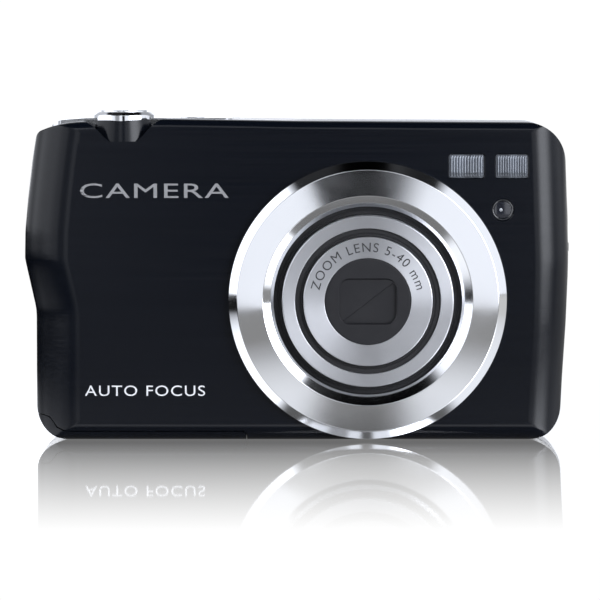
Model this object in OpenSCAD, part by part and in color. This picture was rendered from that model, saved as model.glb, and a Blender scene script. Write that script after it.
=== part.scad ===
// Compact digital camera with a telescoping zoom lens.
// +X is to the right seen from the front, the lens points along -Y, +Z is up.
// The origin is under the middle of the camera, on the surface that it stands on.
// Depths, named with a d, run from the flat of the front face towards the back.

/* [Body] */
// Overall width of the casing
body_w = 95; // [93:0.5:120]
// Overall height of the casing
body_h = 55.7; // [54:0.1:70]
// Depth of the casing from front face to back
body_d = 20; // [19.6:0.2:26]
// Wall of the two covers
shell_t = 1.2; // [0.9:0.05:1.4]
// Rounding from the front face to the grip side
grip_r = 8; // [6:0.5:8]
// Rounding from the front face to the other side
side_r = 5; // [3:0.5:7]
// Rounding from the front face to the top
brow_r = 1.8; // [1:0.1:2.5]
// Rounding from the front face to the bottom
chin_r = 3.5; // [2:0.1:4]
// Rounding round the back
back_r = 2.6; // [2:0.1:3]
// How far the grip stands out over the notch for the fingers
notch_x = 2; // [1:0.1:2.5]
// Depth of the seam between the two covers
seam_d = 10; // [9.5:0.1:11]

/* [Lens] */
// Outer radius of the ring round the lens
bezel_r = 24; // [20:0.1:26]
// How far that ring stands out of the face
bezel_h = 3; // [2:0.1:4]
// Distance of the lens axis from the right side
lens_inset = 35.45; // [32:0.05:38]
// Outer radius of the outer barrel
barrel_r = 14.75; // [13.5:0.05:15.5]
// Wall of the outer barrel
barrel_t = 0.85; // [0.8:0.05:1]
// How far the outer barrel stands out when shut
barrel_proud = 3.6; // [3:0.1:4.5]
// Outer radius of the inner barrel
tip_r = 11.1; // [10.8:0.05:11.3]
// How far the inner barrel stands out past the outer one when shut
tip_proud = 0.7; // [0.4:0.1:1.5]
// Travel of each barrel
barrel_travel = 7; // [4:0.5:7]
// Turn of the cam ring that drives them, in degrees
cam_turn = 80; // [60:1:85]
// Width of the window in front of the barrier blades
window_w = 9.7; // [8:0.05:9.8]
// Height of that window
window_h = 7.5; // [6:0.05:7.6]

/* [Screen] */
// Width of the screen's cover glass
screen_w = 58; // [50:0.5:60]
// Height of the screen's cover glass
screen_h = 44.5; // [38:0.5:46]

/* [Battery] */
// Width of the battery
battery_w = 30; // [25:0.5:31]
// Thickness of the battery
battery_t = 5.8; // [4.5:0.1:5.9]
// Height of the battery
battery_h = 39; // [32:0.5:39.5]

/* [Controls] */
// Radius of the shutter button
shutter_r = 4; // [3:0.05:4.5]
// Travel of the shutter button
shutter_travel = 1.2; // [0.8:0.1:1.4]
// Radius of the power button
power_r = 2.2; // [1.6:0.1:2.6]
// Radius of the small round keys on the back
key_r = 2.2; // [1.6:0.1:2.4]
// Outer radius of the four-way keys
pad_r = 8.6; // [7.5:0.1:9]
// Travel of the keys on the back
key_travel = 0.4; // [0.2:0.05:0.45]
// How far the keys stand out of the back
key_proud = 0.45; // [0.3:0.05:0.6]

/* [Mounts] */
// Radius of the tripod socket's thread at its crests
tripod_r = 2.55; // [2.5:0.01:2.6]
// Depth of the tripod socket
tripod_l = 5.4; // [4.5:0.1:5.6]

/* [Hidden] */
$fn = 64;
// Gap between two pieces that stay together
fit = 0.05;
// Gap round a moving piece
gap = 0.15;
lens_proud = barrel_proud + tip_proud;
rocker_proud = key_proud + 0.15;
nub = 0.45;
face_y = -(body_d + rocker_proud - lens_proud) / 2;
rear_y = face_y + body_d;
left_x = -body_w / 2;
right_x = body_w / 2 - nub;
shell_f = shell_t - 0.3;
rear_in = body_d - shell_t;
lens_x = body_w / 2 - lens_inset;
lens_z = bezel_r + 0.4;

// Colours
black = [0.10, 0.10, 0.12];
silver = [0.78, 0.79, 0.81];
steel = [0.6, 0.61, 0.63];
brass = [0.8, 0.66, 0.34];
rubber = [0.16, 0.16, 0.17];
glass = [0.55, 0.65, 0.75];
board = [0.08, 0.32, 0.2];
frosted = [0.72, 0.75, 0.78];

// Lens stack, as radii and depths
neck_r = barrel_r + 1.45;
neck_t = 0.7;
ring_in = barrel_r + 0.25;
ring_out = barrel_r + 1.45;
housing_in = barrel_r + 3.45;
housing_r = barrel_r + 4.25;
housing_d = 1.0;
base_d = 12.75;
base_t = 1.85;
bore_r = barrel_r - barrel_t;
pin_d = 9.8;
pin_r = 0.5;
tip_t = 0.8;
tip_in = tip_r - tip_t;
tip_front = -lens_proud;
plate_r = tip_r * 0.668;
finger_w = 2;
key_w = 2;
finger_at = [30, 150, 270];
pin_at = [90, 210, 330];
slide_at = [0, 120, 240];
rod_at = [0, 180];
rod_r = 0.5;
rod_place = tip_r + 0.9;

// Gears that turn the cam ring
pitch = 0.4;
ring_teeth = round((housing_in - 0.6) * 2 / pitch);
idler_teeth = 16;
pinion_teeth = 10;
idler_place = pitch * (ring_teeth + idler_teeth) / 2;
motor_place = housing_r + 5;
mesh = pitch * (idler_teeth + pinion_teeth) / 2;
motor_angle = 125;
idler_angle = motor_angle - acos((idler_place * idler_place + motor_place * motor_place - mesh * mesh)
    / (2 * idler_place * motor_place));
idler_xy = idler_place * [cos(idler_angle), sin(idler_angle)];
motor_xy = motor_place * [cos(motor_angle), sin(motor_angle)];
mesh_angle = atan2(motor_xy[1] - idler_xy[1], motor_xy[0] - idler_xy[0]);
idler_step = 360 / idler_teeth;
idler_phase = idler_angle + 180 + idler_step / 2;
lag = (mesh_angle - idler_phase) - idler_step * floor((mesh_angle - idler_phase) / idler_step);
pinion_phase = mesh_angle + 180 + lag * idler_teeth / pinion_teeth + 180 / pinion_teeth;
gear_d = [10.95, 12.35];
motor_r = 3.5;

// Windows in the front
win_z = body_h - 8.25;
win_h = 4.1;
flash_x = right_x - 18;
flash_w = 6.1;
assist_x = right_x - 10.2;
assist_w = 5.6;
lamp_x = right_x - 11.75;
lamp_z = body_h - 15.75;
lamp_r = 1.84;

// Top controls
shutter_x = left_x + 17.4;
shutter_d = 6.2;
collar_r = shutter_r + 1.25;
power_x = shutter_x + 11.8;
power_d = 8.2;
plate_x = [left_x + 5, shutter_x + 18.8];
plate_d = [3.4, 16.4];
plate_z = [body_h - 2.3, body_h];
collar_top = body_h + 1.05;
collar_edge = 0.6;
button_top = body_h + 1.6;
dome_r = 30;
stem_r = 1.15;
switch_z = body_h - 5.9;

// Battery, its case and its door
case_t = 0.6;
slip = 0.1;
battery_x = left_x + notch_x + shell_t + 3;
battery_z = 2.3;
battery_d = 3.2;
case_x = [battery_x - slip - case_t, battery_x + battery_w + slip + case_t];
case_d = [battery_d - slip - case_t, battery_d + battery_t + slip + case_t];
case_z = [battery_z - 0.05, battery_z + battery_h + slip + case_t];
door_t = 1.4;
door_h = 1.56;
door_back = 13;
hinge_x = case_x[1] + 0.9;
hinge_z = door_h / 2;
hinge_r = door_h / 2;
hinge_pin_r = 0.35;
lug_d = [[4, 5.2], [9.2, 10.4]];

// Boards, screen and keys
board_d = 13.2;
board_t = 1;
frame_d = 15.5;
frame_t = 0.4;
screen_x = right_x - 2.4 - screen_w / 2;
screen_z = body_h / 2 + 0.2;
glass_t = 0.8;
pad_x = (left_x + screen_x - screen_w / 2) / 2 + 0.4;
pad_z = body_h * 0.46;
dome_d = [rear_in - 2.2, rear_in - 1.5];
key_d = dome_d[1] + key_travel + fit;
ok_r = 3;
keys_z = [pad_z - 14, pad_z - 14];
keys_x = [pad_x - 5.5, pad_x + 5.5];
rocker_w = 15;
rocker_h = 4.6;
rocker_z = body_h - 8.5;
rocker_pivot_d = rear_in - 0.45;

// Right side
port_z = [30.5, 41.5];
port_d = [seam_d + 1.2, 16.8];
port_x = right_x - 0.2;
port_t = 1.2;
port_hinge = [port_x - port_t / 2, port_z[1] - port_t / 2];
strap_z = [15.2, 21.3];
strap_d = [11.2, 14.9];
strap_in = 3;
strap_bar_x = right_x - 1.15;
strap_bar_d = (strap_d[0] + strap_d[1]) / 2;
strap_bar_r = 0.6;
tripod_x = lens_x - 15.5;
tripod_d = 14;
tripod_wall = tripod_r + 1.1;
screw_at = [[case_x[1] - 8, 14.8], [right_x - 9.2, 14.8]];

// ---- outlines of the casing ----

function direction(a, b) = (b - a) / norm(b - a);

function left_normal(u) = [-u[1], u[0]];

function flat(p) = [p[0], p[1]];

// Corner i of a closed outline, moved inwards with its two sides by t and rounded
function corner(points, i, t) =
    let (n = len(points),
         here = flat(points[i]),
         u = direction(flat(points[(i + n - 1) % n]), here),
         v = direction(here, flat(points[(i + 1) % n])),
         nu = left_normal(u),
         nv = left_normal(v),
         turn = atan2(u[0] * v[1] - u[1] * v[0], u * v),
         side = turn < 0 ? -1 : 1,
         at = here + t * (nu + nv) / (1 + nu * nv),
         r = max(points[i][2] - side * t, 0.1),
         reach = r * tan(abs(turn) / 2),
         centre = at - reach * u + side * r * nu,
         steps = 8)
    points[i][2] == 0
        ? [at]
        : [for (k = [0:steps])
            let (a = turn * k / steps)
            centre - side * r * [nu[0] * cos(a) - nu[1] * sin(a), nu[0] * sin(a) + nu[1] * cos(a)]];

function inset(points, t) = [for (i = [0:len(points) - 1]) each corner(points, i, t)];

// Corners as x, z and radius, seen from the front and counted anticlockwise
front_outline = [
    [left_x + notch_x, 0, 6.2],
    [right_x - 1.3, 0, 6],
    [right_x - 0.8, 0.19 * body_h, 0],
    [right_x - 0.2, 0.36 * body_h, 0],
    [right_x, 0.55 * body_h, 0],
    [right_x - 0.5, 0.83 * body_h, 0],
    [right_x - 0.9, body_h - 0.7, 7.5],
    [0, body_h - 0.4, 0],
    [left_x + body_w / 4, body_h, 0],
    [left_x + 8, body_h - 0.6, 0],
    [left_x + 4.6, body_h - 1.6, 0],
    [left_x + 2.3, body_h - 2.5, 1.8],
    [left_x + 1.4, 0.87 * body_h, 0],
    [left_x + 0.65, 0.755 * body_h, 0],
    [left_x + 0.1, 0.65 * body_h, 0],
    [left_x, 0.56 * body_h, 1.6],
    [left_x + notch_x, 0.4 * body_h, 6]];

// Corners as x, y and radius, seen from above
plan_outline = [
    [left_x, face_y, grip_r],
    [right_x, face_y, side_r],
    [right_x, rear_y, back_r],
    [left_x, rear_y, back_r]];

// Corners as y, z and radius, seen from the right
side_outline = [
    [face_y, 0, chin_r],
    [rear_y, 0, back_r],
    [rear_y, body_h, back_r],
    [face_y, body_h, brow_r]];

// The casing's outer shape, made smaller by t all round
module envelope(t) {
    intersection() {
        translate([0, rear_y - t, 0])
            rotate([90, 0, 0])
                linear_extrude(body_d - 2 * t)
                    polygon(inset(front_outline, t));
        linear_extrude(body_h + 1)
            polygon(inset(plan_outline, t));
        translate([left_x - 1, 0, 0])
            rotate([90, 0, 90])
                linear_extrude(body_w + 2)
                    polygon(inset(side_outline, t));
    }
}

// ---- simple shapes, placed by depth ----

module block(x, d, z) {
    translate([x[0], face_y + d[0], z[0]])
        cube([x[1] - x[0], d[1] - d[0], z[1] - z[0]]);
}

module rod_x(d, z, r, x) {
    translate([x[0], face_y + d, z])
        rotate([0, 90, 0])
            cylinder(r = r, h = x[1] - x[0]);
}

module rod_y(x, z, r, d) {
    translate([x, face_y + d[1], z])
        rotate([90, 0, 0])
            cylinder(r = r, h = d[1] - d[0]);
}

module rod_z(x, d, r, z) {
    translate([x, face_y + d, z[0]])
        cylinder(r = r, h = z[1] - z[0]);
}

// An outline drawn as x and z, given a depth
module panel(d) {
    translate([0, face_y + d[1], 0])
        rotate([90, 0, 0])
            linear_extrude(d[1] - d[0])
                children();
}

module rounded(w, h, r) {
    square([w - 2 * r, h], center = true);
    square([w, h - 2 * r], center = true);
    for (x = [-1, 1])
        for (z = [-1, 1])
            translate([x * (w / 2 - r), z * (h / 2 - r)])
                circle(r);
}

// The lens axis, with depths as minus z
module at_lens() {
    translate([lens_x, face_y, lens_z])
        rotate([90, 0, 0])
            children();
}

module slab(d) {
    translate([0, 0, -d[1]])
        linear_extrude(d[1] - d[0])
            children();
}

module ring(r1, r0, d) {
    slab(d)
        difference() {
            circle(r1);
            circle(r0);
        }
}

// Piece of a ring, of width w round its middle at angle a
module arc(r1, r0, d, a, w) {
    half = w / (r1 + r0) * 180 / PI;
    rotate([0, 0, a - half])
        rotate_extrude(angle = 2 * half)
            translate([r0, -d[1]])
                square([r1 - r0, d[1] - d[0]]);
}

// A lens with a domed front and a flat back
module lens_element(r, d, dome) {
    intersection() {
        slab(d)
            circle(r);
        translate([0, 0, -d[0] - dome])
            sphere(dome);
    }
}

// Points of one gear tooth after another from angle a0, n of them
function tooth(r, a) = [
    [r - 1.2 * pitch, a - 0.3], [r + 0.8 * pitch, a - 0.11],
    [r + 0.8 * pitch, a + 0.11], [r - 1.2 * pitch, a + 0.3]];

function gear_points(teeth, phase, count) =
    let (r = pitch * teeth / 2)
    [for (k = [0:count - 1])
        for (p = tooth(r, 0))
            let (a = phase + (k + p[1]) * 360 / teeth)
            p[0] * [cos(a), sin(a)]];

// ---- casing ----

module top_plate_space(g) {
    block([plate_x[0] - g, plate_x[1] + g], [plate_d[0] - g, plate_d[1] + g],
        [plate_z[0], body_h + 2]);
}

module door_space(g) {
    panel([-1, door_back + g]) {
        polygon([
            [left_x - 2, -2],
            [hinge_x, -2],
            [hinge_x, door_h + g],
            [left_x + 8, door_h + g],
            [left_x + 5.8 + g, 2.25],
            [left_x + 4.4 + g, 4 + g],
            [left_x - 2, 4.4 + g]]);
        translate([hinge_x, hinge_z])
            circle(hinge_r + g);
        translate([hinge_x - 0.1, -2])
            square([0.1 + hinge_r + g, 2 + hinge_z]);
    }
}

module port_space(g) {
    panel([port_d[0] - g, port_d[1] + g]) {
        translate([port_x - port_t - 0.05, port_z[0] - g])
            square([4, port_hinge[1] - port_z[0] + g]);
        translate(port_hinge)
            circle(port_t / 2 + g);
        translate([port_hinge[0], port_hinge[1] - 1])
            square([3, 1 + port_t / 2 + g]);
    }
}

module scoop(grow) {
    translate([shutter_x, face_y + shutter_d, body_h - 4 - grow])
        cylinder(r1 = 6.6 + grow, r2 = 9 + grow, h = 5 + grow);
}

// Wall that the scoop leaves in front of the shutter's collar
module scoop_wall() {
    translate([shutter_x, face_y + shutter_d, body_h - 4.1])
        cylinder(r1 = 6.2, r2 = collar_r + 0.2, h = 3.8);
}

module screw_heads(g) {
    for (s = screw_at) {
        rod_z(s[0], s[1], 1.2 + g, [-1, 0.65]);
        rod_z(s[0], s[1], 0.7 + g, [0.5, 4.5]);
    }
}

module front_cover() {
    color(black)
        difference() {
            intersection() {
                union() {
                    difference() {
                        envelope(0);
                        envelope(shell_f);
                    }
                    intersection() {
                        envelope(0);
                        scoop(shell_f);
                        block([left_x, 0], [0, plate_d[0] + 1.4], [40, body_h + 1]);
                    }
                }
                block([left_x - 1, right_x + 1], [-1, seam_d - fit / 2], [-1, body_h + 1]);
            }
            at_lens()
                slab([-1, 2])
                    circle(neck_r + neck_t + fit);
            difference() {
                intersection() {
                    scoop(0);
                    block([left_x, 0], [-1, plate_d[0] + fit], [40, body_h + 2]);
                }
                scoop_wall();
            }
            top_plate_space(fit);
            rod_z(shutter_x, shutter_d, collar_r + fit, [plate_z[0] - 0.7 - fit, body_h + 1]);
            top_flange(fit);
            door_space(gap);
            window_space(flash_x, flash_w + 2 * fit);
            window_space(assist_x, assist_w + 2 * fit);
            rod_y(lamp_x, lamp_z, lamp_r + fit, [-1, 2]);
        }
}

module window_space(x, w) {
    translate([x, 0, win_z])
        panel([-1, 2])
            rounded(w, win_h + 2 * fit, 0.5);
}

module rear_cover() {
    color(silver)
        difference() {
            union() {
                intersection() {
                    difference() {
                        envelope(0);
                        envelope(shell_t);
                    }
                    block([left_x - 1, right_x + 1], [seam_d + fit / 2, body_d + 1], [-1, body_h + 1]);
                }
                intersection() {
                    envelope(0);
                    block([right_x - strap_in - 1, right_x + 1],
                        [strap_d[0] - 1, strap_d[1] + 1], [strap_z[0] - 1.6, strap_z[1] + 1.6]);
                }
            }
            block([right_x - strap_in, right_x + 1], strap_d, strap_z);
            rod_z(strap_bar_x, strap_bar_d, strap_bar_r + 0.02, [strap_z[0] - 1.2, strap_z[1] + 1.2]);
            top_plate_space(fit);
            top_flange(fit);
            door_space(gap);
            port_space(gap);
            rod_y(port_hinge[0], port_hinge[1], 0.38, [seam_d, port_d[1] + 1]);
            rod_z(tripod_x, tripod_d, tripod_wall + fit, [-1, 3]);
            screw_heads(fit);
            translate([screen_x, 0, screen_z]) {
                panel([body_d - glass_t, body_d + 1])
                    rounded(screen_w + 2 * fit, screen_h + 2 * fit, 2);
                panel([rear_in - 1, body_d + 1])
                    rounded(screen_w - 3, screen_h - 3, 1);
            }
            panel([rear_in - 1, body_d + 1]) {
                translate([pad_x, pad_z])
                    circle(pad_r + gap);
                for (k = [0, 1])
                    translate([keys_x[k], keys_z[k]])
                        circle(key_r + gap);
                translate([pad_x, rocker_z])
                    rounded(rocker_w + 2 * gap, rocker_h + 2 * gap, 1.2);
            }
        }
}

module top_flange(g) {
    block([plate_x[0] - 0.9 - g, plate_x[1] + 0.9 + g], [plate_d[0] - 0.9 - g, plate_d[1] + 0.9 + g],
        [plate_z[0] - 0.7 - g, plate_z[0] + g]);
}

module top_plate() {
    color(silver)
        difference() {
            union() {
                panel(plate_d)
                    polygon([
                        [plate_x[0], plate_z[0]],
                        [plate_x[1], plate_z[0]],
                        [plate_x[1], plate_z[1]],
                        [plate_x[0] + 6, plate_z[1]],
                        [plate_x[0] + 1.6, plate_z[1] - 0.35],
                        [plate_x[0] + 0.5, plate_z[1] - 0.75],
                        [plate_x[0], plate_z[1] - 1.3]]);
                top_flange(0);
                rod_z(shutter_x, shutter_d, collar_r, [plate_z[0] - 0.7, collar_top - collar_edge]);
                translate([shutter_x, face_y + shutter_d, collar_top - collar_edge])
                    cylinder(r1 = collar_r, r2 = shutter_r + 0.6, h = collar_edge);
            }
            rod_z(shutter_x, shutter_d, shutter_r + gap, [plate_z[0], collar_top + 1]);
            rod_z(shutter_x, shutter_d, 1.3, [plate_z[0] - 2, plate_z[0] + 1]);
            rod_z(power_x, power_d, power_r + gap, [plate_z[0], body_h + 1]);
            rod_z(power_x, power_d, 1, [plate_z[0] - 2, plate_z[0] + 1]);
        }
}

// Metal sheet behind the lens that the covers are screwed to
module inner_frame() {
    color(steel)
        difference() {
            union() {
                block([left_x + notch_x + shell_t + 0.6, right_x - shell_t - 1.7],
                    [frame_d, frame_d + frame_t], [6.4, body_h - 5.7]);
                for (s = screw_at)
                    block([s[0] - 2, s[0] + 2], [s[1] - 1.5, frame_d + frame_t], [shell_t + fit, 6.6]);
            }
            for (s = screw_at)
                rod_z(s[0], s[1], 0.72, [0, 4.6]);
            block([right_x - strap_in - 1.3, right_x], [frame_d - 1, frame_d + 1],
                [strap_z[0] - 2, strap_z[1] + 2]);
        }
}

module case_screws() {
    color(steel)
        for (s = screw_at) {
            rod_z(s[0], s[1], 1.2, [0.1, 0.65]);
            rod_z(s[0], s[1], 0.7, [0.6, 4.5]);
        }
}

// ---- lens ----

module lens_bezel() {
    color(silver)
        union() {
            difference() {
                at_lens()
                    rotate_extrude()
                        polygon([
                            [neck_r, 1.3],
                            [neck_r + 1.3, bezel_h],
                            [bezel_r - 1.4, bezel_h - 0.4],
                            [bezel_r, bezel_h - 1.7],
                            [bezel_r, -3],
                            [bezel_r - 1, -3],
                            [bezel_r - 1, bezel_h - 2.1],
                            [bezel_r - 1.8, bezel_h - 1.5],
                            [neck_r + 2, bezel_h - 1.2],
                            [neck_r + 2, -3],
                            [neck_r, -3]]);
                envelope(-0.02);
            }
            at_lens()
                ring(neck_r + neck_t, neck_r, [-1.3, housing_d - fit]);
        }
}

module bezel_seal() {
    color(rubber)
        at_lens()
            ring(neck_r - 0.02, barrel_r + 0.1, [-0.7, 0.3]);
}

module lens_housing() {
    color(black)
        at_lens()
            difference() {
                union() {
                    ring(housing_r, ring_in, [housing_d, housing_d + 0.5]);
                    ring(housing_r, housing_in, [housing_d, base_d]);
                    slab([gear_d[0] - 1, gear_d[0] - 0.3])
                        difference() {
                            union() {
                                translate(motor_xy)
                                    circle(motor_r + 0.7);
                                rotate(motor_angle)
                                    translate([housing_r - 0.5, -2.4])
                                        square([3, 4.8]);
                            }
                            circle(housing_r - 0.3);
                            translate(motor_xy)
                                circle(1.05);
                        }
                }
                slab([gear_d[0] - 0.3, base_d + 1])
                    translate(idler_xy)
                        circle(pitch * (idler_teeth / 2 + 0.8) + 0.35);
            }
}

module lens_base() {
    color(black)
        at_lens()
            difference() {
                union() {
                    slab([base_d, base_d + base_t])
                        circle(housing_r);
                    slab([base_d, base_d + 0.8])
                        translate(idler_xy)
                            circle(2);
                    slab([gear_d[0] - 0.2, base_d + 0.8])
                        translate(idler_xy)
                            circle(0.6);
                    for (a = finger_at)
                        arc(barrel_r - 0.1, bore_r + 0.1, [housing_d + 0.9, base_d + 0.1], a, finger_w);
                }
                slab([base_d - 1, base_d + base_t + 1])
                    square([8, 6.2], center = true);
                slab([base_d + 0.6, base_d + base_t + 1])
                    square([12, 10.2], center = true);
                for (a = rod_at)
                    rotate(a)
                        translate([rod_place, 0, -base_d - 0.8])
                            cylinder(r = rod_r, h = 1.8);
            }
}

// Straight cuts laid end to end that make one helical slot in the cam ring
module cam_slot(a) {
    steps = 10;
    step_a = cam_turn / steps;
    step_z = barrel_travel / steps;
    mid_r = (ring_in + ring_out) / 2;
    slope = atan(step_z / (step_a * PI / 180 * mid_r));
    run = norm([step_z, step_a * PI / 180 * mid_r]) + 0.5;
    slot = 2 * (pin_r + 0.08);
    for (k = [0:steps - 1])
        rotate([0, 0, a - (k + 0.5) * step_a])
            translate([mid_r, 0, -pin_d + (k + 0.5) * step_z])
                rotate([-slope, 0, 0])
                    cube([4, run, slot], center = true);
    for (k = [0, 1])
        rotate([0, 0, a - k * cam_turn])
            translate([ring_in - 1, 0, -pin_d + k * barrel_travel])
                rotate([0, 90, 0])
                    cylinder(d = slot, h = 3);
}

module cam_ring() {
    sector = ceil((cam_turn + 24) / 360 * ring_teeth);
    ahead = 4;
    color(silver)
        at_lens()
            difference() {
                union() {
                    ring(ring_out, ring_in, [housing_d + 0.65, base_d - 0.15]);
                    slab(gear_d)
                        difference() {
                            union() {
                                circle(pitch * (ring_teeth / 2 - 1.2) - 0.05);
                                polygon(concat(
                                    gear_points(ring_teeth,
                                        idler_angle - (sector - ahead) * 360 / ring_teeth, sector),
                                    [[0, 0]]));
                            }
                            circle(ring_out - 0.3);
                        }
                }
                for (a = pin_at)
                    cam_slot(a);
            }
}

module idler_gear() {
    color(steel)
        at_lens()
            slab(gear_d)
                translate(idler_xy)
                    difference() {
                        polygon(gear_points(idler_teeth, idler_phase, idler_teeth));
                        circle(0.65);
                    }
}

module motor_pinion() {
    color(brass)
        at_lens()
            slab(gear_d)
                translate(motor_xy)
                    difference() {
                        polygon(gear_points(pinion_teeth, pinion_phase, pinion_teeth));
                        circle(0.45);
                    }
}

module zoom_motor() {
    color(steel)
        at_lens()
            translate(motor_xy) {
                slab([gear_d[0] - 7.8, gear_d[0] - 1])
                    circle(motor_r);
                slab([gear_d[0] - 1.1, gear_d[0] - 0.3])
                    circle(1);
                slab([gear_d[0] - 0.4, gear_d[1] + 0.1])
                    circle(0.4);
            }
}

module follower_pins(g) {
    for (a = pin_at)
        rotate([0, 0, a])
            translate([bore_r + 0.1, 0, -pin_d])
                rotate([0, 90, 0])
                    cylinder(r = pin_r + g, h = ring_out - bore_r - 0.2);
}

module outer_barrel() {
    color(silver)
        at_lens() {
            difference() {
                union() {
                    ring(barrel_r, bore_r, [-barrel_proud, pin_d + 0.8]);
                    ring(barrel_r, tip_r + 1.4, [-barrel_proud, -barrel_proud + 1]);
                    ring(bore_r + 0.1, tip_r + 0.5, [-barrel_proud + 1, -barrel_proud + 1.5]);
                }
                for (a = finger_at)
                    arc(barrel_r + 1, bore_r - 1, [housing_d, pin_d + 2], a, finger_w + 0.2);
                for (a = slide_at)
                    arc(bore_r + 0.35, bore_r - 1, [0, pin_d + 2], a, key_w + 0.2);
            }
            follower_pins(0);
        }
}

module barrel_seal() {
    color(rubber)
        at_lens()
            ring(tip_r + 1.38, tip_r + 0.1, [-barrel_proud + 0.4, -barrel_proud + 1]);
}

// Where the two blades turn, right of the middle and left of it
pivot_x = window_w / 2 + 1.9;
pivot_z = -0.8;

module inner_barrel() {
    color(silver)
        at_lens() {
            ring(tip_r, tip_in, [tip_front, pin_d - 1.5]);
            ring(tip_r, plate_r + 0.02, [tip_front, tip_front + 0.55]);
            slab([tip_front + 1.35, tip_front + 1.8])
                difference() {
                    circle(tip_in + 0.1);
                    rounded(window_w + 0.6, window_h + 0.6, 2);
                }
            ring(tip_in + 0.1, 6.45, [-0.5, 0.4]);
            ring(bore_r - 0.15, tip_in + 0.1, [pin_d - 2.6, pin_d - 1.6]);
            for (a = slide_at)
                arc(bore_r + 0.25, bore_r - 1, [pin_d - 2.6, pin_d - 1.6], a, key_w);
            for (s = [-1, 1])
                translate([s * pivot_x, s * pivot_z])
                    slab([tip_front + 0.56, tip_front + 1.4])
                        circle(0.3);
        }
}

module window_plate() {
    color(black)
        at_lens()
            slab([tip_front + 0.2, tip_front + 0.55])
                difference() {
                    circle(plate_r);
                    rounded(window_w, window_h, 1.6);
                }
}

// Half of the window above its diagonal, with an arm to the pivot on the right
module blade_outline() {
    slope = window_h / window_w;
    lap = 0.15;
    difference() {
        union() {
            intersection() {
                rounded(window_w + 0.7, window_h + 0.7, 1.95);
                polygon([
                    [-9, -9 * slope - lap],
                    [9, 9 * slope - lap],
                    [9, 9],
                    [-9, 9]]);
            }
            polygon([
                [window_w / 2 - 1.2, window_h / 2 - 0.5],
                [window_w / 2 - 0.4, window_h / 2 + 0.35],
                [pivot_x + 0.75, pivot_z + 0.2],
                [pivot_x - 0.75, pivot_z - 0.1],
                [window_w / 2 + 0.35, window_h / 2 - 1.3]]);
            translate([pivot_x, pivot_z])
                circle(0.8);
        }
        translate([pivot_x, pivot_z])
            circle(0.35);
    }
}

module blade_upper() {
    color(rubber)
        at_lens()
            slab([tip_front + 0.63, tip_front + 0.88])
                blade_outline();
}

module blade_lower() {
    color(rubber)
        at_lens()
            slab([tip_front + 1.0, tip_front + 1.25])
                rotate(180)
                    blade_outline();
}

module front_lens() {
    color(glass)
        at_lens()
            lens_element(6.4, [-2.3, 1.2], 14);
}

module zoom_cell() {
    color(black)
        at_lens() {
            ring(tip_in - 0.5, 4.25, [2.2, 5.4]);
            for (a = slide_at)
                arc(tip_in - 0.1, tip_in - 1, [3, 5.4], a, 2);
        }
}

module zoom_lens() {
    color(glass)
        at_lens()
            lens_element(4.2, [2.4, 5.2], 9);
}

module focus_carriage() {
    color(black)
        at_lens()
            difference() {
                union() {
                    ring(8, 5, [9.3, 11.9]);
                    for (a = rod_at)
                        rotate([0, 0, a]) {
                            slab([9.8, 11.4])
                                translate([7.7, -1])
                                    square([rod_place - 8.2, 2]);
                            slab([9.3, 11.9])
                                translate([rod_place, 0])
                                    circle(1.15);
                        }
                }
                for (a = rod_at)
                    rotate([0, 0, a])
                        translate([rod_place, 0, -13])
                            cylinder(r = rod_r + 0.05, h = 5);
            }
}

module focus_lens() {
    color(glass)
        at_lens()
            lens_element(4.98, [9.5, 11.8], 12);
}

module focus_drive() {
    color(brass)
        at_lens()
            for (a = [90, 270])
                arc(10, 8.5, [10, base_d], a, 8);
}

module focus_rods() {
    color(steel)
        at_lens()
            for (a = rod_at)
                rotate([0, 0, a])
                    translate([rod_place, 0, -base_d - 0.75])
                        cylinder(r = rod_r, h = base_d + 0.75 - pin_d + 1.3);
}

module ir_filter() {
    color(glass)
        at_lens()
            slab([base_d - 0.5, base_d])
                square([9.6, 7.8], center = true);
}

module image_sensor() {
    color(steel)
        at_lens() {
            slab([base_d + 0.6, base_d + base_t])
                square([11.6, 9.8], center = true);
            slab([base_d + base_t, base_d + base_t + 0.5])
                square([22, 18], center = true);
        }
}

// ---- flash and lamp ----

module ribbed(x, w) {
    ribs = 12;
    translate([x, 0, win_z])
        panel([0.25, shell_f])
            rounded(w, win_h, 0.45);
    for (k = [0:ribs - 1])
        translate([x - w / 2 + (k + 0.5) * w / ribs, 0, win_z])
            panel([0.08, 0.3])
                square([w / ribs * 0.55, win_h - 0.7], center = true);
}

module flash_window() {
    color(frosted)
        ribbed(flash_x, flash_w);
}

module assist_window() {
    color(frosted)
        ribbed(assist_x, assist_w);
}

tube_z = win_z;

module flash_reflector() {
    x = [flash_x - flash_w / 2 - 0.6, assist_x + assist_w / 2 + 0.4];
    color(silver)
        difference() {
            block(x, [shell_f + 0.2, 6.2], [win_z - win_h / 2 - 0.9, win_z + win_h / 2 + 0.9]);
            rod_x(shell_f + 1.6, tube_z, win_h / 2 + 0.2, [x[0] + 0.5, x[1] - 0.5]);
            block([x[0] + 0.5, x[1] - 0.5], [0, shell_f + 1.6],
                [win_z - win_h / 2 - 0.2, win_z + win_h / 2 + 0.2]);
            rod_x(shell_f + 2.4, tube_z, 0.72, [x[0] - 1, x[1] + 1]);
        }
}

module flash_tube() {
    x = [flash_x - flash_w / 2 - 0.6, assist_x + assist_w / 2 + 0.4];
    color(glass)
        rod_x(shell_f + 2.4, tube_z, 0.7, [x[0] - 0.8, x[1] + 0.8]);
}

module flash_capacitor() {
    color(black)
        rod_z(right_x - 6.9, 7.1, 3.8, [6, 34]);
}

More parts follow.
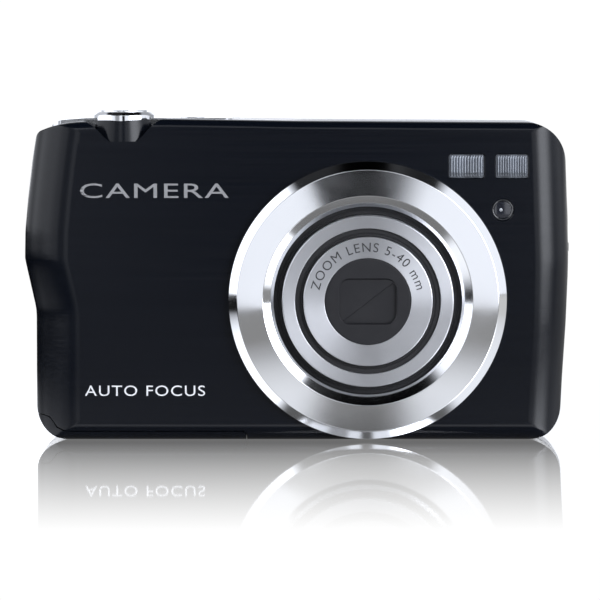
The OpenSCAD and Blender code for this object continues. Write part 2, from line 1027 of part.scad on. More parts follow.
module lamp_lens() {
    color(frosted)
        union() {
            rod_y(lamp_x, lamp_z, lamp_r, [0.05, shell_f]);
            rod_y(lamp_x, lamp_z, lamp_r + 0.7, [shell_f, shell_f + 0.6]);
            for (s = [-1, 1])
                rod_y(lamp_x + s * 0.55, lamp_z, 0.3, [shell_f + 0.5, shell_f + 2]);
        }
}

// ---- boards and screen ----

module main_board() {
    x = [left_x + notch_x + shell_t + 0.8, tripod_x - tripod_wall - 1];
    color(board)
        union() {
            block(x, [board_d, board_d + board_t], [7, body_h - 7]);
            block([x[1] - 15, x[1] - 4], [board_d - 1.1, board_d], [30, 41]);
            block([x[1] - 30, x[1] - 20], [board_d - 0.9, board_d], [31, 38]);
            for (k = [0:3])
                block([x[1] - 30 + 6 * k, x[1] - 27 + 6 * k], [board_d - 0.8, board_d], [44, 46]);
        }
}

module top_board() {
    color(board)
        union() {
            block([shutter_x - 4.5, power_x + 3.5], [3.6, 10.6], [switch_z - 2.4, switch_z - 1.6]);
            block([shutter_x - 1.8, shutter_x + 1.8], [shutter_d - 1.8, shutter_d + 1.8],
                [switch_z - 1.6, switch_z]);
            block([power_x - 1.8, power_x + 1.8], [power_d - 1.8, power_d + 1.8],
                [switch_z - 1.6, switch_z]);
        }
}

module key_board() {
    board_z = [keys_z[0] - 3.5, rocker_z + 2.2];
    color(board)
        union() {
            block([pad_x - 9.5, pad_x + 9.5], [dome_d[0] - 0.6, dome_d[0]], board_z);
            rod_y(pad_x, pad_z, 1.6, dome_d);
            for (a = [0, 90, 180, 270])
                rod_y(pad_x + 5.9 * cos(a), pad_z + 5.9 * sin(a), 1.4, dome_d);
            for (k = [0, 1])
                rod_y(keys_x[k], keys_z[k], 1.4, dome_d);
        }
}

module screen_panel() {
    color(steel)
        translate([screen_x, 0, screen_z])
            panel([frame_d + frame_t + 0.2, rear_in - 0.1])
                square([screen_w - 2, screen_h - 1], center = true);
}

module screen_glass() {
    color(glass)
        translate([screen_x, 0, screen_z])
            panel([body_d - glass_t, body_d - 0.05])
                rounded(screen_w, screen_h, 2);
}

// ---- battery and card ----

module battery() {
    color(rubber)
        difference() {
            block([battery_x, battery_x + battery_w], [battery_d, battery_d + battery_t],
                [battery_z, battery_z + battery_h]);
            for (k = [0:2])
                block([battery_x + battery_w - 5 - 3.2 * k, battery_x + battery_w - 3 - 3.2 * k],
                    [battery_d + 1.2, battery_d + battery_t - 1.2],
                    [battery_z + battery_h - 0.3, battery_z + battery_h + 1]);
        }
}

module battery_case() {
    color(black)
        difference() {
            union() {
                block(case_x, case_d, case_z);
                for (d = lug_d) {
                    block([case_x[1] - 0.5, hinge_x + 0.6], d, [hinge_z, case_z[0] + 3]);
                    rod_y(hinge_x, hinge_z, 0.6, d);
                }
            }
            block([battery_x - slip, battery_x + battery_w + slip],
                [battery_d - slip, battery_d + battery_t + slip], [0, battery_z + battery_h + slip]);
            block([battery_x + 6, battery_x + battery_w - 6], [0, case_d[1] + 1], [12, battery_h - 8]);
            rod_y(hinge_x, hinge_z, hinge_pin_r, [0, door_back]);
        }
}

module battery_door() {
    color(black)
        difference() {
            intersection() {
                union() {
                    difference() {
                        envelope(0);
                        envelope(door_t);
                    }
                    intersection() {
                        envelope(0);
                        rod_y(hinge_x, hinge_z, hinge_r, [1.4, door_back]);
                    }
                }
                door_space(0);
                union() {
                    block([left_x - 1, hinge_x], [-1, door_back], [-1, 6]);
                    rod_y(hinge_x, hinge_z, hinge_r, [-1, door_back]);
                }
            }
            rod_y(hinge_x, hinge_z, hinge_pin_r + 0.05, [1, door_back + 1]);
            for (d = lug_d)
                block([hinge_x - 1.7, hinge_x + 2], [d[0] - gap, d[1] + gap], [-1, 4]);
        }
}

module door_pin() {
    color(steel)
        rod_y(hinge_x, hinge_z, hinge_pin_r, [3, 11.4]);
}

card_x = case_x[0] + 2;

module card_slot() {
    color(steel)
        difference() {
            block([card_x, card_x + 26], [case_d[1] + 0.3, case_d[1] + 3.1], [2, 29]);
            block([card_x + 0.8, card_x + 25.2], [case_d[1] + 0.5, case_d[1] + 2.8], [1, 28.4]);
        }
}

module memory_card() {
    color(black)
        block([card_x + 1, card_x + 25], [case_d[1] + 0.6, case_d[1] + 2.7], [2.2, 28.2]);
}

// ---- right side ----

module usb_socket() {
    x1 = port_x - port_t - 0.3;
    color(steel)
        difference() {
            block([x1 - 5.6, x1], [12, 15], [32.2, 39.4]);
            block([x1 - 4.8, x1 + 1], [12.4, 14.6], [32.6, 39]);
        }
}

module port_cover() {
    middle = (port_d[0] + port_d[1]) / 2;
    color(rubber)
        union() {
            intersection() {
                union() {
                    envelope(0);
                    block([right_x - 0.6, right_x + nub], [middle - 1.5, middle + 1.5], [32, 33.8]);
                }
                difference() {
                    port_space(0);
                    panel([0, body_d])
                        difference() {
                            translate([port_hinge[0], port_hinge[1]])
                                square([2, 2]);
                            translate(port_hinge)
                                circle(port_t / 2);
                        }
                }
            }
            rod_y(port_hinge[0], port_hinge[1], 0.33, [port_d[0] - 0.8, port_d[1] + 0.8]);
        }
}

module strap_bar() {
    color(steel)
        rod_z(strap_bar_x, strap_bar_d, strap_bar_r, [strap_z[0] - 1.1, strap_z[1] + 1.1]);
}

module tripod_socket() {
    color(steel)
        difference() {
            rod_z(tripod_x, tripod_d, tripod_wall, [0, tripod_l + 0.8]);
            rod_z(tripod_x, tripod_d, tripod_r, [-1, tripod_l]);
        }
}

// ---- buttons ----

module shutter_button() {
    steps = 6;
    foot = body_h + 0.2;
    color(silver)
        translate([shutter_x, face_y + shutter_d, 0])
            rotate_extrude()
                polygon([
                    [0, switch_z + shutter_travel + 0.1],
                    [stem_r, switch_z + shutter_travel + 0.1],
                    [stem_r, foot],
                    [shutter_r, foot],
                    for (k = [steps:-1:0])
                        let (r = shutter_r * k / steps)
                        [r, button_top - r * r / (2 * dome_r)]]);
}

// A wire that winds round from z0 to z1, n turns at radius r
module coil(r, wire, z0, z1, n) {
    around = 20;
    sides = 8;
    last = n * around;
    points = [for (i = [0:last])
        for (j = [0:sides - 1])
            let (a = 360 * i / around, b = 360 * j / sides, q = r + wire * cos(b))
            [q * cos(a), q * sin(a), z0 + wire + (z1 - z0 - 2 * wire) * i / last + wire * sin(b)]];
    walls = [for (i = [0:last - 1])
        for (j = [0:sides - 1])
            let (a = i * sides + j, b = i * sides + (j + 1) % sides)
            each [[a, b, a + sides], [b, b + sides, a + sides]]];
    polyhedron(points, concat(walls,
        [[for (j = [0:sides - 1]) sides - 1 - j]],
        [[for (j = [0:sides - 1]) last * sides + j]]));
}

module shutter_spring() {
    color(steel)
        translate([shutter_x, face_y + shutter_d, 0])
            coil(2.4, 0.15, plate_z[0] + 0.05, body_h + 0.15, 3);
}

module power_button() {
    color(silver)
        union() {
            rod_z(power_x, power_d, power_r, [plate_z[0] + 0.9, plate_z[1] + 0.1]);
            rod_z(power_x, power_d, 0.9, [switch_z + 0.75, plate_z[1]]);
        }
}

module round_key(x, z, r) {
    rod_y(x, z, r, [key_d, body_d + key_proud]);
    rod_y(x, z, r + 0.6, [key_d + 0.3, rear_in - 0.1]);
}

module key_ok() {
    color(silver)
        rod_y(pad_x, pad_z, ok_r, [key_d, body_d + key_proud]);
}

module key_menu() {
    color(silver)
        round_key(keys_x[0], keys_z[0], key_r);
}

module key_play() {
    color(silver)
        round_key(keys_x[1], keys_z[1], key_r);
}

// One quarter of the ring round the middle key
module quarter(a) {
    color(silver)
        translate([pad_x, 0, pad_z])
            union() {
                quarter_ring(a, pad_r, [key_d, body_d + key_proud]);
                quarter_ring(a, pad_r + 0.6, [key_d + 0.3, rear_in - 0.1]);
            }
}

module quarter_ring(a, r, d) {
    panel(d)
        intersection() {
            difference() {
                circle(r);
                circle(ok_r + 0.3);
            }
            rotate(a)
                polygon([[gap * 1.5, 0], [20, 20 - gap * 1.5], [20, -20 + gap * 1.5]]);
        }
}

module key_right() {
    quarter(0);
}

module key_up() {
    quarter(90);
}

module key_left() {
    quarter(180);
}

module key_down() {
    quarter(270);
}

module zoom_rocker() {
    color(silver)
        union() {
            translate([pad_x, 0, rocker_z])
                panel([rear_in - 1, body_d + rocker_proud])
                    rounded(rocker_w, rocker_h, 1.1);
            translate([pad_x, 0, rocker_z])
                panel([rear_in - 1.1, rear_in - 0.75])
                    square([rocker_w + 1, rocker_h + 1], center = true);
            rod_z(pad_x, rocker_pivot_d, 0.4,
                [rocker_z - rocker_h / 2 - 1.3, rocker_z + rocker_h / 2 + 1.3]);
        }
}

// ---- what is drawn ----

front_cover();
rear_cover();
top_plate();
inner_frame();
case_screws();
lens_bezel();
bezel_seal();
lens_housing();
lens_base();
cam_ring();
idler_gear();
motor_pinion();
zoom_motor();
outer_barrel();
barrel_seal();
inner_barrel();
window_plate();
blade_upper();
blade_lower();
front_lens();
zoom_cell();
zoom_lens();
focus_carriage();
focus_lens();
focus_drive();
focus_rods();
ir_filter();
image_sensor();
flash_window();
assist_window();
flash_reflector();
flash_tube();
flash_capacitor();
lamp_lens();
main_board();
top_board();
key_board();
screen_panel();
screen_glass();
battery();
battery_case();
battery_door();
door_pin();
memory_card();
card_slot();
usb_socket();
port_cover();
strap_bar();
tripod_socket();
shutter_button();
shutter_spring();
power_button();
zoom_rocker();
key_up();
key_down();
key_left();
key_right();
key_ok();
key_menu();
key_play();
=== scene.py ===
import math

import bmesh
import bpy
import numpy as np
from bpy.props import FloatProperty, FloatVectorProperty, PointerProperty
from bpy.types import Operator, Panel, PropertyGroup
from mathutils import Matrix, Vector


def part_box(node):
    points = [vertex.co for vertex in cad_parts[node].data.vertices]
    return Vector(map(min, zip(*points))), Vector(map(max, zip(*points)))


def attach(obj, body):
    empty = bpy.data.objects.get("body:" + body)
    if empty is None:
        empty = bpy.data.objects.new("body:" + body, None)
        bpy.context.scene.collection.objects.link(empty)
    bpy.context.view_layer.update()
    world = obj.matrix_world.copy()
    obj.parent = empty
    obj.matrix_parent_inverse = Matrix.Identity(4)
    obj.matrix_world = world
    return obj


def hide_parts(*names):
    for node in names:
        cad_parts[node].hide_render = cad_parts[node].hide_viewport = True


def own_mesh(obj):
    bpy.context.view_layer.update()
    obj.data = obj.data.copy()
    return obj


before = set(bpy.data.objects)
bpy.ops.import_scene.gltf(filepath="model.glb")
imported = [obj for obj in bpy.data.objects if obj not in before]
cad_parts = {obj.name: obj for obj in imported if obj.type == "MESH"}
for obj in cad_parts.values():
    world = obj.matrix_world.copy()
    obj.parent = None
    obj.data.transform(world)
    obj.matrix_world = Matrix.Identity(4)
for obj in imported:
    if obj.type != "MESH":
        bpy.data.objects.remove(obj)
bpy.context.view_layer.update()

bl_info = {
    "name": "Compact camera",
    "version": (1, 0, 0),
    "blender": (4, 5, 0),
    "location": "View3D > Sidebar > Camera",
    "description": "Smooth pieces and finishes for a compact camera, on its packed frame",
    "category": "Object",
}

MM = 0.001


def limits(node):
    """Lowest and highest corner of a CAD node, in millimetres."""
    low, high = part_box(node)
    return np.array(low) / MM, np.array(high) / MM


def middle(node):
    """Centre of a CAD node's box, in millimetres."""
    low, high = limits(node)
    return (low + high) / 2


def half_width(node):
    """Half a CAD node's size along X, in millimetres, which is a round piece's radius."""
    low, high = limits(node)
    return (high[0] - low[0]) / 2


# Places that every piece is built from, in millimetres, read off the frame
SHELL_LOW, SHELL_HIGH = limits("front_cover")
BACK_HIGH = limits("rear_cover")[1]
LEFT, FACE_Y = SHELL_LOW[0], SHELL_LOW[1]
RIGHT, SEAM_Y, TALL = SHELL_HIGH[0], SHELL_HIGH[1], SHELL_HIGH[2]
BACK_Y = BACK_HIGH[1]
LENS_X, LENS_Z = middle("lens_bezel")[0], middle("lens_bezel")[2]
BEZEL_R = half_width("lens_bezel")
BEZEL_H = FACE_Y - limits("lens_bezel")[0][1]
BARREL_R = half_width("outer_barrel")
BARREL_H = FACE_Y - limits("outer_barrel")[0][1]
TIP_H = FACE_Y - limits("inner_barrel")[0][1]
PLATE_R = half_width("window_plate")
SHUTTER_X, SHUTTER_Y = middle("shutter_button")[:2]
SHUTTER_R = half_width("shutter_button")
POWER_X, POWER_Y = middle("power_button")[:2]
POWER_R = half_width("power_button")
COLLAR_TOP = limits("top_plate")[1][2]
BUTTON_TOP = limits("shutter_button")[1][2]
DOOR_LOW, DOOR_HIGH = limits("battery_door")
PAD_X, PAD_Z = middle("key_ok")[0], middle("key_ok")[2]
PLATE_LOW, PLATE_HIGH = limits("top_plate")
PLATE_X = (PLATE_LOW[0] + 0.9, PLATE_HIGH[0] - 0.9)
PLATE_Y = (FACE_Y + 3.4, PLATE_HIGH[1] - 0.9)
# Sizes that the frame doesn't show: the top plate's flange, and the window plate's share of the inner tube
PLATE_LIP = 0.7
PLATE_SHARE = 0.668
TIP_R = PLATE_R / PLATE_SHARE
# Name of the map that turned pieces carry, and how far apart points at one place may be, in metres
ROUND_MAP = "round"
SAME_PLACE = 2e-7
# Values that a noise seldom passes
NOISE_SPAN = (0.3, 0.7)


# ---- outlines and profiles ----

def rounded(corners, closed=True, step=6.0):
    """Each corner (x, y, r) becomes an arc of radius r that touches both of its sides.

    Arc points: centre - side * r * (normal turned through 0 to the corner's turn), one every step degrees.
    """
    points = []
    count = len(corners)
    for i, (x, y, r) in enumerate(corners):
        here = np.array([x, y], float)
        if r <= 0 or (not closed and i in (0, count - 1)):
            points.append(here)
            continue
        before = np.array(corners[i - 1][:2], float)
        after = np.array(corners[(i + 1) % count][:2], float)
        u = (here - before) / np.linalg.norm(here - before)
        v = (after - here) / np.linalg.norm(after - here)
        turn = math.atan2(u[0] * v[1] - u[1] * v[0], float(u @ v))
        side = -1.0 if turn < 0 else 1.0
        reach = r * math.tan(abs(turn) / 2)
        normal = np.array([-u[1], u[0]])
        centre = here - reach * u + side * r * normal
        steps = max(2, int(abs(math.degrees(turn)) / step))
        a = np.linspace(0, turn, steps + 1)
        spun = np.stack([normal[0] * np.cos(a) - normal[1] * np.sin(a),
                         normal[0] * np.sin(a) + normal[1] * np.cos(a)], 1)
        points.extend(centre - side * r * spun)
    return np.array(points)


def spaced(points, gap):
    """A closed outline with points added along its long straight stretches, no more than gap apart."""
    after = np.roll(points, -1, 0)
    lengths = np.linalg.norm(after - points, axis=1)
    out = [p + (q - p) * np.arange(n)[:, None] / n
           for p, q, n in zip(points, after, np.maximum(1, np.ceil(lengths / gap)).astype(int))]
    return np.concatenate(out)


def outward(points):
    """Unit normals of a closed anticlockwise outline: the mean of its two sides' directions, turned right."""
    u = points - np.roll(points, 1, 0)
    v = np.roll(points, -1, 0) - points
    u /= np.maximum(np.linalg.norm(u, axis=1, keepdims=True), 1e-9)
    v /= np.maximum(np.linalg.norm(v, axis=1, keepdims=True), 1e-9)
    t = u + v
    t /= np.maximum(np.linalg.norm(t, axis=1, keepdims=True), 1e-9)
    return np.stack([t[:, 1], -t[:, 0]], 1)


def circle(radius, sides=128, centre=(0, 0)):
    """Points at equal angles round a centre."""
    a = np.linspace(0, 2 * math.pi, sides, endpoint=False)
    return np.stack([centre[0] + radius * np.cos(a), centre[1] + radius * np.sin(a)], 1)


def rectangle(width, height, radius, centre=(0, 0)):
    """A rounded rectangle, anticlockwise."""
    x, y = width / 2, height / 2
    corners = [(x, -y, radius), (x, y, radius), (-x, y, radius), (-x, -y, radius)]
    return rounded(corners) + np.array(centre)


# Ways to stand an outline (a, b) up at height h

def on_front(a, b, h):
    """Drawn as x and z on the front face, with heights out of it along -Y."""
    return np.stack([a, FACE_Y - h, b], -1)


def on_back(a, b, h):
    """Drawn as x and z on the back, with heights out of it along +Y."""
    return np.stack([a, BACK_Y + h, b], -1)


def on_top(a, b, h):
    """Drawn as x and y, with heights along +Z from the ground."""
    return np.stack([a, b, h], -1)


def on_lens(a, b, h):
    """Drawn round the lens axis, with heights out of the front face."""
    return np.stack([LENS_X + a, FACE_Y - h, LENS_Z + b], -1)


def on_side(a, b, h):
    """Drawn as y and z, with heights as x."""
    return np.stack([h, a, b], -1)


def carried(outline, profile, place):
    """A profile carried round an outline: point (j, i) is outline i moved inwards by inset j, at height j."""
    profile = np.asarray(profile, float)
    normals = outward(outline)
    flat = outline[None] - profile[:, 0, None, None] * normals[None]
    heights = np.broadcast_to(profile[:, 1, None], flat.shape[:2])
    return place(flat[..., 0], flat[..., 1], heights)


# ---- meshes ----

def sheet_faces(rows, columns, start, loop_rows=False):
    """Quads of a grid whose columns close on themselves."""
    j = np.arange(rows if loop_rows else rows - 1)[:, None]
    i = np.arange(columns)[None]
    k, n = (j + 1) % rows, (i + 1) % columns
    quads = np.stack([j * columns + i, j * columns + n, k * columns + n, k * columns + i], -1)
    return (quads.reshape(-1, 4) + start).tolist()


def make_mesh(name, grids, caps="both", loop_rows=False):
    """An object of closed surfaces. Each grid is rows by columns by xyz in millimetres, with capped ends."""
    points, faces = [], []
    start = 0
    for grid in grids:
        rows, columns = grid.shape[:2]
        points.append(grid.reshape(-1, 3))
        faces.extend(sheet_faces(rows, columns, start, loop_rows))
        if not loop_rows and caps in ("both", "last"):
            faces.append(list(range(start + (rows - 1) * columns, start + rows * columns)))
        if not loop_rows and caps in ("both", "first"):
            faces.append(list(range(start + columns - 1, start - 1, -1)))
        start += rows * columns
    mesh = bpy.data.meshes.new(name)
    mesh.from_pydata((np.concatenate(points) * MM).tolist(), [], faces)
    clean(mesh)
    thing = bpy.data.objects.new(name, mesh)
    bpy.context.scene.collection.objects.link(thing)
    return thing


def clean(mesh, gap=SAME_PLACE):
    """Points at one place are merged and faces are turned outwards."""
    work = bmesh.new()
    work.from_mesh(mesh)
    bmesh.ops.remove_doubles(work, verts=work.verts, dist=gap)
    bmesh.ops.dissolve_degenerate(work, edges=work.edges, dist=gap)
    bmesh.ops.recalc_face_normals(work, faces=work.faces)
    work.to_mesh(mesh)
    work.free()
    mesh.validate()


def break_edges(mesh, size):
    """Cuts each sharp edge of a mesh back by size millimetres."""
    work = bmesh.new()
    work.from_mesh(mesh)
    bmesh.ops.remove_doubles(work, verts=work.verts, dist=SAME_PLACE)
    bmesh.ops.dissolve_limit(work, angle_limit=math.radians(1), verts=work.verts, edges=work.edges)
    sharp = [edge for edge in work.edges if edge.calc_face_angle(0) > math.radians(40)]
    bmesh.ops.bevel(work, geom=sharp, offset=size * MM, segments=1, profile=0.5, affect="EDGES")
    work.to_mesh(mesh)
    work.free()


def node_copy(node):
    """A new object with a copy of a CAD node's mesh."""
    thing = bpy.data.objects.new(node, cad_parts[node].data.copy())
    bpy.context.scene.collection.objects.link(thing)
    return thing


def combine(thing, others, operation="DIFFERENCE"):
    """Cuts the other solids out of a thing, or joins or intersects them, and uses them up."""
    for other in others:
        modifier = thing.modifiers.new("combine", "BOOLEAN")
        modifier.operation = operation
        modifier.solver = "EXACT"
        modifier.object = other
        seen = thing.evaluated_get(bpy.context.evaluated_depsgraph_get())
        mesh = bpy.data.meshes.new_from_object(seen)
        thing.modifiers.clear()
        old = thing.data
        thing.data = mesh
        bpy.data.meshes.remove(old)
        bpy.data.objects.remove(other)
    return thing


def finish_piece(thing, name, body, nodes, material, angle=32.0):
    """Names the piece, shades it smooth up to an angle, and hands it to the frame."""
    thing.name = name
    thing.data.name = name
    thing.data.materials.clear()
    thing.data.materials.append(material)
    thing.data.polygons.foreach_set("use_smooth", np.ones(len(thing.data.polygons), bool))
    thing.data.polygons.foreach_set("material_index", np.zeros(len(thing.data.polygons), np.int32))
    thing.data.set_sharp_from_angle(angle=math.radians(angle))
    weighted = thing.modifiers.new("normals", "WEIGHTED_NORMAL")
    weighted.keep_sharp = True
    weighted.weight = 50
    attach(thing, body)
    if nodes:
        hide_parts(*nodes)
    return thing


def map_round(thing):
    """Maps a turned piece by its angle about the lens axis, across, and its distance from the lens, up."""
    mesh = thing.data
    layer = mesh.uv_layers.new(name=ROUND_MAP)
    points = np.empty(len(mesh.vertices) * 3)
    mesh.vertices.foreach_get("co", points)
    points = points.reshape(-1, 3) / MM
    a = np.arctan2(points[:, 2] - LENS_Z, points[:, 0] - LENS_X) / (2 * math.pi)
    up = (np.hypot(points[:, 0] - LENS_X, points[:, 2] - LENS_Z) + points[:, 1]) / 50
    for face in mesh.polygons:
        corners = list(face.loop_indices)
        at = [a[mesh.loops[i].vertex_index] for i in corners]
        for i, u in zip(corners, at):
            wrapped = u + 1 if max(at) - u > 0.5 else u
            layer.data[i].uv = (wrapped, up[mesh.loops[i].vertex_index])


def turned(profile, place, sides=192):
    """A closed profile of (radius, height) corners spun about an axis, each row a circle of that radius."""
    profile = np.asarray(profile, float)
    a = np.linspace(0, 2 * math.pi, sides, endpoint=False)
    x = profile[:, 0, None] * np.cos(a)[None]
    y = profile[:, 0, None] * np.sin(a)[None]
    return place(x, y, np.broadcast_to(profile[:, 1, None], x.shape))


def prism(outline, low, high, place):
    """A plain solid of an outline between two heights."""
    return make_mesh("prism", [carried(outline, [(0, low), (0, high)], place)])


def plate(outline, low, high, edge, place, name="plate"):
    """A solid of an outline whose upper edge is rounded by edge."""
    a = np.linspace(0, math.pi / 2, 5)
    top = [(edge * (1 - math.cos(t)), high - edge * (1 - math.sin(t))) for t in a]
    return make_mesh(name, [carried(outline, [(0, low)] + top, place)])


# ---- materials ----

def shader(name, colour, metallic, roughness, coat=0.0, specular=0.5):
    """A new material with its main shader's constants set, and the node tree to add detail to."""
    material = bpy.data.materials.new(name)
    material.use_nodes = True
    tree = material.node_tree
    main = tree.nodes["Principled BSDF"]
    main.inputs["Base Color"].default_value = (*colour, 1)
    main.inputs["Metallic"].default_value = metallic
    main.inputs["Roughness"].default_value = roughness
    main.inputs["Coat Weight"].default_value = coat
    main.inputs["Coat Roughness"].default_value = 0.06
    main.inputs["Specular IOR Level"].default_value = specular
    return material, tree, main


def add_node(tree, kind, inputs=None, **settings):
    """A new shader node. Each of its inputs takes a value, or another node's output, which is linked."""
    made = tree.nodes.new("ShaderNode" + kind)
    for name, value in settings.items():
        setattr(made, name, value)
    for socket, value in (inputs or {}).items():
        if isinstance(value, bpy.types.NodeSocket):
            tree.links.new(value, made.inputs[socket])
        else:
            made.inputs[socket].default_value = value
    return made


def ramp(tree, value, span, ends, eased=False):
    """A value mapped from a span to two ends, along a straight line or an eased one."""
    inputs = {"Value": value, "From Min": span[0], "From Max": span[1], "To Min": ends[0], "To Max": ends[1]}
    kind = "SMOOTHSTEP" if eased else "LINEAR"
    return add_node(tree, "MapRange", inputs, interpolation_type=kind).outputs["Result"]


def noise(tree, scale, detail=3.0, place=(0, 0, 0)):
    """Noise on Object coordinates, stretched by scale along each axis, in turns per metre."""
    coords = add_node(tree, "TexCoord").outputs["Object"]
    mapping = add_node(tree, "Mapping", {"Vector": coords, "Scale": scale, "Location": place})
    inputs = {"Vector": mapping.outputs["Vector"], "Scale": 1.0, "Detail": detail, "Roughness": 0.55}
    return add_node(tree, "TexNoise", inputs).outputs["Fac"]


def ringed(tree, pitch, centre=(LENS_X, 0, LENS_Z), keep=(1, 0, 1)):
    """Noise that changes only with distance from an axis, as turning marks do, pitch millimetres apart.

    The axis passes through centre along the coordinate that keep leaves out.
    """
    coords = add_node(tree, "TexCoord").outputs["Object"]
    place = [-c * MM * k for c, k in zip(centre, keep)]
    mapping = add_node(tree, "Mapping", {"Vector": coords, "Location": place, "Scale": keep})
    length = add_node(tree, "VectorMath", {0: mapping.outputs["Vector"]}, operation="LENGTH")
    inputs = {"W": length.outputs["Value"], "Scale": 1 / (pitch * MM), "Detail": 2.0}
    return add_node(tree, "TexNoise", inputs, noise_dimensions="1D").outputs["Fac"]


def bump(tree, main, height, strength, distance):
    """Adds a bump of distance metres to the main shader's normal."""
    made = add_node(tree, "Bump", {"Strength": strength, "Distance": distance, "Height": height})
    tree.links.new(made.outputs["Normal"], main.inputs["Normal"])


def spread(tree, fac, low, high, target):
    """Maps a noise's usual span to low to high and feeds a socket."""
    tree.links.new(ramp(tree, fac, NOISE_SPAN, (low, high)), target)


def tinted(tree, fac, dark, light, target):
    """Mixes two colours over a noise's usual span and feeds a socket."""
    made = add_node(tree, "ValToRGB", {"Fac": fac})
    for element, at, colour in zip(made.color_ramp.elements, NOISE_SPAN, (dark, light)):
        element.position = at
        element.color = (*colour, 1)
    tree.links.new(made.outputs["Color"], target)


def look():
    """The colours that a user may change."""
    return bpy.context.scene.camera_colours


def grained(name, colour, metallic, roughness, cloud, shades, grain, polish, relief, **constants):
    """A finish whose colour varies with one noise, and whose roughness and relief vary with a finer one.

    cloud and grain are what noise() takes, shades are shares of the colour, polish is the roughness's ends,
    and relief is the bump's strength. With no grain, the roughness varies with the cloud.
    """
    material, tree, main = shader(name, colour, metallic, roughness, **constants)
    broad = noise(tree, *cloud)
    fine = noise(tree, *grain) if grain else broad
    dark, light = [[share * c for c in colour] for share in shades]
    tinted(tree, broad, dark, light, main.inputs["Base Color"])
    spread(tree, fine, *polish, main.inputs["Roughness"])
    if relief:
        bump(tree, main, fine, relief, 0.00002)
    return material


def black_finish():
    """Black anodised sheet brushed along X: the brush lines tilt the surface up and down only."""
    broad, fine = ((14, 300, 2600), 3.0, (0.3, 0.1, 0.7)), ((30, 900, 7000), 2.0)
    return grained("black brushed metal", look().black, 0.0, 0.17, broad, (0.9, 1.1), fine, (0.14, 0.21), 0.3,
                   specular=0.32)


def silver_finish():
    """Satin silver paint with a very fine grain."""
    cloud, grain = ((40, 40, 40), 3.0, (0.2, 0, 0)), ((9000, 9000, 9000), 2.0)
    return grained("satin silver paint", look().silver, 0.75, 0.36, cloud, (0.94, 1.04), grain, (0.3, 0.42),
                   0.12)


def chrome_finish():
    """Polished plating with faint turning marks round the lens and a little wear."""
    material, tree, main = shader("polished plating", look().chrome, 1.0, 0.09)
    marks = ringed(tree, 0.12)
    haze = noise(tree, (60, 60, 60), 4.0)
    spread(tree, haze, 0.05, 0.13, main.inputs["Roughness"])
    bump(tree, main, marks, 0.01, 0.00001)
    return material


def barrel_finish():
    """Satin aluminium turned round the lens axis, so light streaks across it from the middle."""
    colour = look().barrel
    material, tree, main = shader("turned aluminium", colour, 1.0, 0.26)
    main.inputs["Anisotropic"].default_value = 0.8
    main.inputs["Anisotropic Rotation"].default_value = 0.25
    tangent = add_node(tree, "Tangent", direction_type="UV_MAP", uv_map=ROUND_MAP)
    tree.links.new(tangent.outputs["Tangent"], main.inputs["Tangent"])
    marks = ringed(tree, 0.4)
    grain = noise(tree, (6000, 6000, 6000), 2.0)
    cloud = noise(tree, (300, 300, 300), 3.0)
    tinted(tree, cloud, [0.96 * c for c in colour], [1.02 * c for c in colour], main.inputs["Base Color"])
    spread(tree, grain, 0.3, 0.36, main.inputs["Roughness"])
    bump(tree, main, marks, 0.04, 0.00001)
    return material


def top_chrome_finish():
    """Bright plating on the top plate, with a faint haze."""
    material, tree, main = shader("bright top plating", look().chrome, 1.0, 0.1)
    haze = noise(tree, (150, 150, 150), 4.0)
    spread(tree, haze, 0.06, 0.16, main.inputs["Roughness"])
    bump(tree, main, haze, 0.03, 0.00002)
    return material


def button_finish(name, centre):
    """Metal turned about a vertical axis."""
    material, tree, main = shader(name, look().chrome, 1.0, 0.2)
    marks = ringed(tree, 0.07, (*centre, 0), (1, 1, 0))
    spread(tree, marks, 0.14, 0.26, main.inputs["Roughness"])
    bump(tree, main, marks, 0.3, 0.00002)
    return material


def rubber_finish(name="matt black rubber", tone=0.022):
    """Dull black rubber with a fine moulded grain."""
    material, tree, main = shader(name, (tone, tone, tone * 1.08), 0.0, 0.7, specular=0.3)
    grain = noise(tree, (5000, 5000, 5000), 3.0)
    spread(tree, grain, 0.6, 0.8, main.inputs["Roughness"])
    bump(tree, main, grain, 0.25, 0.00003)
    return material


def moulded_finish(name, colour, roughness=0.45):
    """Moulded plastic with a fine spark-eroded texture and slight shade changes."""
    return grained(name, colour, 0.0, roughness, ((120, 120, 120), 3.0), (0.85, 1.15),
                   ((7000, 7000, 7000), 2.0), (roughness - 0.07, roughness + 0.1), 0.15)


def metal_finish(name, colour, roughness=0.32):
    """Bare rolled or turned metal with a directionless grain and faint stains."""
    return grained(name, colour, 1.0, roughness, ((150, 150, 150), 4.0), (0.85, 1.0),
                   ((4000, 4000, 4000), 3.0), (roughness - 0.08, roughness + 0.12), 0.12)


def board_finish():
    """Green laminate with a pattern of darker tracks."""
    material, tree, main = shader("circuit board", (0.02, 0.13, 0.07), 0.0, 0.4)
    tracks = noise(tree, (700, 100, 700), 1.0)
    tinted(tree, tracks, (0.012, 0.09, 0.05), (0.03, 0.17, 0.09), main.inputs["Base Color"])
    spread(tree, tracks, 0.3, 0.45, main.inputs["Roughness"])
    return material


def glass_finish(name, tint, coat=1.0):
    """Coated glass: clear, with a tinted surface film."""
    material, tree, main = shader(name, tint, 0.0, 0.03, coat=coat)
    main.inputs["Transmission Weight"].default_value = 0.7
    main.inputs["IOR"].default_value = 1.5
    film = noise(tree, (80, 80, 80), 2.0)
    tinted(tree, film, [0.9 * c for c in tint], tint, main.inputs["Base Color"])
    return material


def window_finish():
    """Ribbed clear plastic over a bright reflector."""
    # The colour's vertical streaks, lighter and darker across the width, are painted highlight and painted
    # shade of light through the ribs.
    return grained("ribbed window", look().window, 0.6, 0.12, ((900, 200, 60), 3.0), (0.7, 1.3),
                   None, (0.1, 0.25), 0, coat=0.3)


